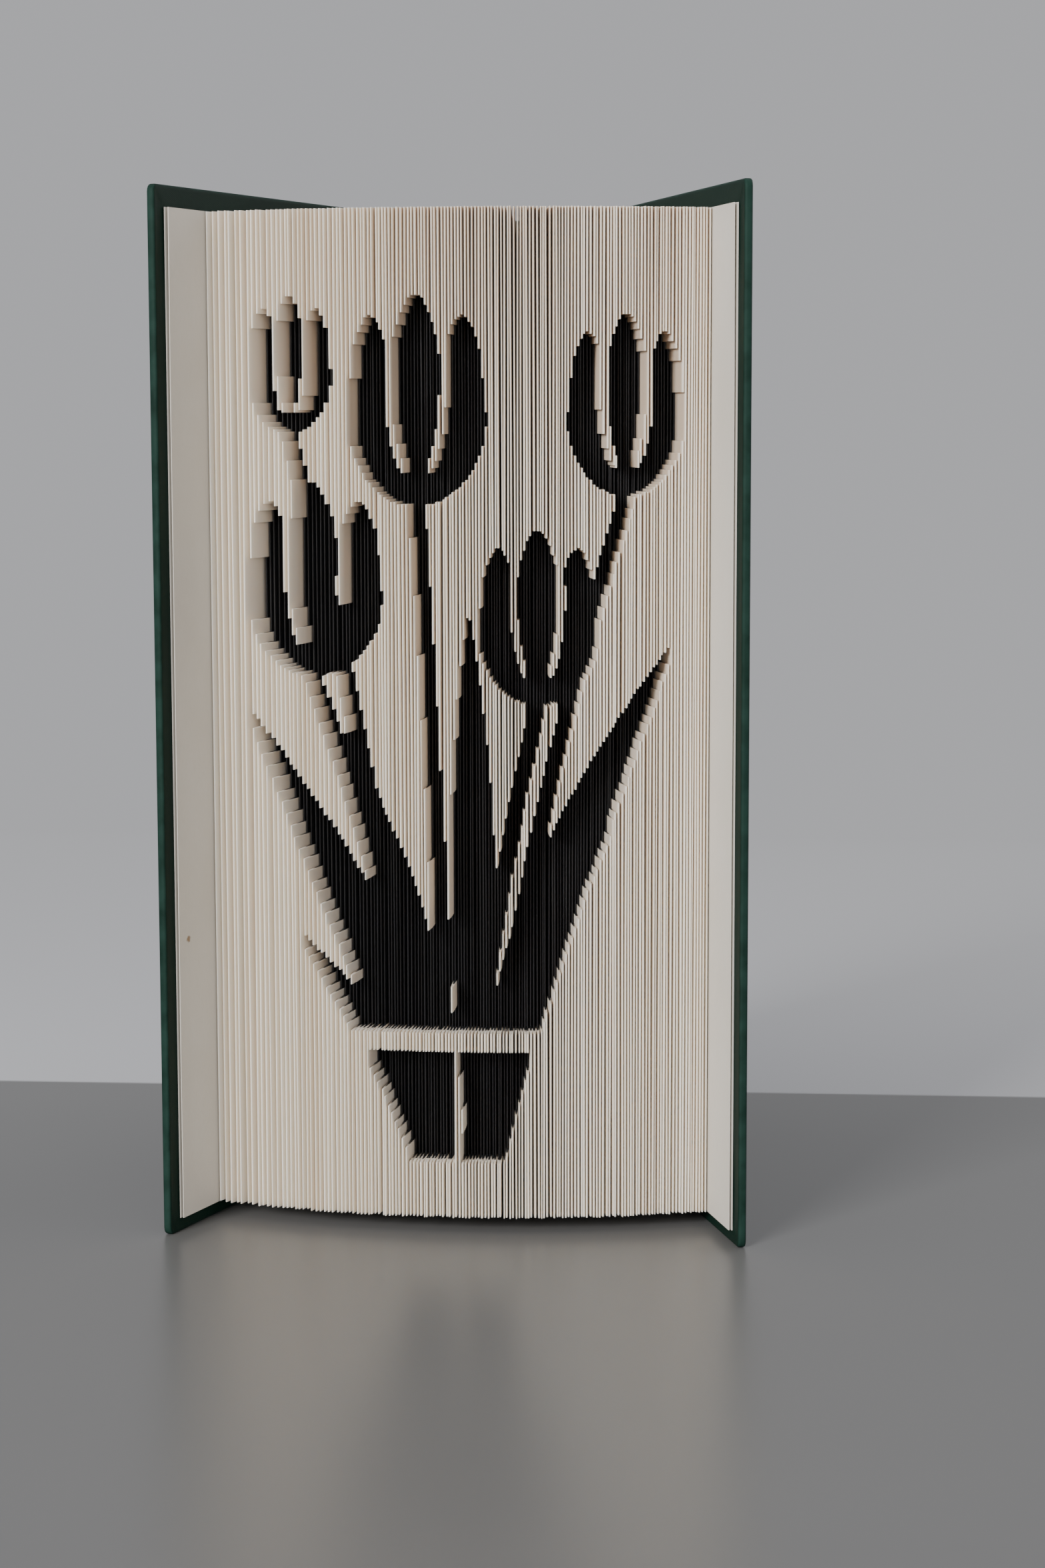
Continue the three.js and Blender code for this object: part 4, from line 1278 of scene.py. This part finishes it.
@dataclass
class SewnBand:
    """A band over the ends of the leaves: a core wrapped with thread, on a tape glued to the back."""

    plan: BookPlan
    end: BandEnd
    bead_radius: float = 0.9 * MM
    thread_radius: float = 0.17 * MM
    spacing: float = 0.36 * MM
    clearance: float = 0.25 * MM
    tape: float = 0.3 * MM
    tape_length: float = 10 * MM
    width_share: float = 0.96
    glue: float = 0.15 * MM
    sink: float = 0.15 * MM

    def tree(self) -> bpy.types.NodeTree:
        """Geometry nodes that wind thread round a curved core."""
        inputs = {"Core radius": "Float", "Thread radius": "Float", "Spacing": "Float"}
        inputs |= {"Thread": "Material", "Core": "Material"}
        graph, given = growth(f"wound_thread_{self.end.name.lower()}", inputs)

        def circle(resolution: int, radius: Any) -> Socket:
            """A round section."""
            return graph.out("GeometryNodeCurvePrimitiveCircle", {"Resolution": resolution, "Radius": radius})

        def dressed(geometry: Any, material: str) -> Socket:
            """A geometry with one of the given materials."""
            return graph.out("GeometryNodeSetMaterial", {"Geometry": geometry, "Material": given[material]})

        line = graph.out("GeometryNodeMeshToCurve", {"Mesh": given["Geometry"]})
        core_radius = graph.math("SUBTRACT", given["Core radius"], given["Thread radius"])
        sockets = {"Curve": line, "Profile Curve": circle(14, core_radius), "Fill Caps": True}
        core = dressed(graph.out("GeometryNodeCurveToMesh", sockets), "Core")
        sockets = {"Curve": line, "Length": given["Spacing"]}
        beads = graph.add("GeometryNodeCurveToPoints", sockets, mode="LENGTH").outputs
        sockets = {"Curve": circle(16, core_radius), "Profile Curve": circle(6, given["Thread radius"])}
        turn = graph.out("GeometryNodeCurveToMesh", sockets)
        sockets = {"Points": beads["Points"], "Instance": turn, "Rotation": beads["Rotation"]}
        wound = graph.out("GeometryNodeInstanceOnPoints", sockets)
        thread = dressed(graph.out("GeometryNodeRealizeInstances", {"Geometry": wound}), "Thread")
        joined = graph.add("GeometryNodeJoinGeometry", {"Geometry": thread})
        graph.tree.links.new(core, joined.inputs["Geometry"])
        sockets = {"Geometry": joined.outputs[0], "Shade Smooth": True}
        graph.add("NodeGroupOutput", {"Geometry": graph.out("GeometryNodeSetShadeSmooth", sockets)})
        return graph.tree

    def build(self, thread: bpy.types.Material, core: bpy.types.Material) -> bpy.types.Object:
        """Builds the band and its tape on the root body."""
        plan, way = self.plan, self.end.value
        edge = plan.block_head if way > 0 else plan.block_tail
        bead_z = edge + way * (self.clearance + self.bead_radius)
        radius = plan.back_radius - self.sink
        reach = math.asin(plan.back_half / plan.back_radius) * self.width_share
        turns = np.linspace(-reach, reach, 33)
        line = [(x, y + plan.row_y, bead_z) for x, y in plan.round_back(radius, turns)]
        mesh = bpy.data.meshes.new("band_line")
        mesh.from_pydata(line, [(i, i + 1) for i in range(len(line) - 1)], [])
        holder = bpy.data.objects.new("band_line", mesh)
        bpy.context.scene.collection.objects.link(holder)
        values = {
            "Core radius": self.bead_radius,
            "Thread radius": self.thread_radius,
            "Spacing": self.spacing,
            "Thread": thread,
            "Core": core,
        }
        label = self.end.label
        piece = grown(holder, self.tree(), values, f"{label}_thread")
        self.add_tape(piece, bead_z, edge - way * self.tape_length, reach)
        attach(piece, "root")
        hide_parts(label)
        return piece

    def add_tape(self, piece: bpy.types.Object, bead_z: float, tape_end: float, reach: float) -> None:
        """Joins the tape on the block's back to the band's mesh."""
        plan = self.plan
        low, high = min(bead_z, tape_end), max(bead_z, tape_end)
        inner = plan.back_radius + self.glue
        turns = np.linspace(-reach, reach, 17)
        arc = plan.round_back(inner, turns) + plan.round_back(inner + self.tape, turns[::-1])
        rings = [[(x, y + plan.row_y, z) for x, y in arc] for z in np.linspace(low, high, 4)]
        points, faces = loft(np.array(rings))
        tape = plain_mesh("band_tape", points, faces)
        outward(tape)
        tape.data.materials.append(piece.data.materials[0])
        bpy.context.view_layer.update()
        with bpy.context.temp_override(active_object=piece, selected_editable_objects=[piece, tape]):
            bpy.ops.object.join()


@dataclass
class Studio:
    """The plain pale floor, soft light and the camera at the photo's viewing angle."""

    camera_place: Triple = (0.0742, -0.6934, 0.174)
    lens: float = 70.41
    yaw: float = math.radians(5.4)
    pitch: float = math.radians(6.96)
    roll: float = math.radians(0.13)
    sensor: float = 36
    floor_half: float = 6

    def build(self) -> None:
        """Adds floor, lights, world and camera."""
        half = self.floor_half
        corners = np.array([(-half, -half, 0), (half, -half, 0), (half, half, 0), (-half, half, 0)])
        floor = plain_mesh("floor", corners, [(0, 1, 2, 3)])
        floor.data.materials.append(TableFinish().make())
        self.light("key", (-0.7, -1.5, 0.75), (0, -0.02, 0.11), 0.6, 35)
        self.light("fill", (0.5, -1.7, 0.12), (0, 0, 0.06), 1.0, 13.5)
        self.light("top", (0.0, 0.2, 1.3), (0, 0, 0.1), 1.0, 3)
        self.light("side", (1.3, 0.8, 0.6), (0, 0, 0.1), 1.2, 7)
        world = bpy.data.worlds.new("studio")
        world.use_nodes = True
        background = world.node_tree.nodes["Background"].inputs
        background["Color"].default_value = (*WALL, 1)
        background["Strength"].default_value = 1.0
        bpy.context.scene.world = world
        self.camera()

    def light(self, name: str, place: Triple, target: Triple, size: float, watts: float) -> None:
        """Adds one soft square light that faces a point."""
        data = bpy.data.lights.new(name, "AREA")
        data.size = size
        data.energy = watts
        lamp = bpy.data.objects.new(name, data)
        lamp.location = place
        lamp.rotation_mode = "QUATERNION"
        lamp.rotation_quaternion = (Vector(target) - Vector(place)).to_track_quat("-Z", "Y")
        bpy.context.scene.collection.objects.link(lamp)

    def camera(self) -> None:
        """Adds the camera and makes it the scene's."""
        level = math.cos(self.pitch)
        forward = Vector((-math.sin(self.yaw) * level, math.cos(self.yaw) * level, -math.sin(self.pitch)))
        right = forward.cross(Vector((0, 0, 1))).normalized()
        up = right.cross(forward)
        tilted = right * math.cos(self.roll) - up * math.sin(self.roll)
        up = tilted.cross(forward)
        data = bpy.data.cameras.new("camera")
        data.lens = self.lens
        data.sensor_width = self.sensor
        camera = bpy.data.objects.new("camera", data)
        turn = Matrix((tilted, up, -forward)).transposed()
        camera.matrix_world = Matrix.Translation(self.camera_place) @ turn.to_4x4()
        bpy.context.scene.collection.objects.link(camera)
        bpy.context.scene.camera = camera


def dress(frame: dict[str, Any], name: str, material: bpy.types.Material) -> None:
    """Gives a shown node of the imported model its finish."""
    node = frame["nodes"][name]
    node.data.materials.clear()
    node.data.materials.append(material)


def main() -> None:
    """Builds the book's dressed pieces in order and sets the studio."""
    logging.basicConfig(level=logging.INFO, format="%(message)s")
    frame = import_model()
    plan = BookPlan()
    Studio().build()
    cloth = BookClothFinish().make()
    endpaper = EndpaperFinish().make()
    pieces = [FoldedLeaves(plan).build(LeafFinish().make())]
    for side in Side:
        pieces.append(Endpaper(plan, side).build(endpaper))
        pieces.append(CaseCloth(plan, side).build(cloth))
    pieces.append(SpineCloth(plan).build(cloth))
    thread = ThreadFinish("band_thread", (0.42, 0.36, 0.22), (0.27, 0.22, 0.12)).make()
    core = ThreadFinish("band_core", (0.30, 0.27, 0.20), (0.2, 0.17, 0.12)).make()
    for end in BandEnd:
        pieces.append(SewnBand(plan, end).build(thread, core))
    board = FibreFinish("grey_board", (0.16, 0.145, 0.12), (0.25, 0.23, 0.19)).make()
    mull = FibreFinish("starched_mull", (0.52, 0.48, 0.38), (0.38, 0.34, 0.25), 1200).make()
    kraft = FibreFinish("kraft_paper", (0.27, 0.165, 0.075), (0.19, 0.11, 0.05), 500).make()
    shown = {"front_board": board, "back_board": board, "spine_inlay": board}
    for name, finish in {**shown, "spine_mull": mull, "spine_lining": kraft}.items():
        dress(frame, name, finish)
    for piece in pieces:
        log.info("%s: %d faces", piece.name, len(piece.data.polygons))


if __name__ == "__main__":
    main()
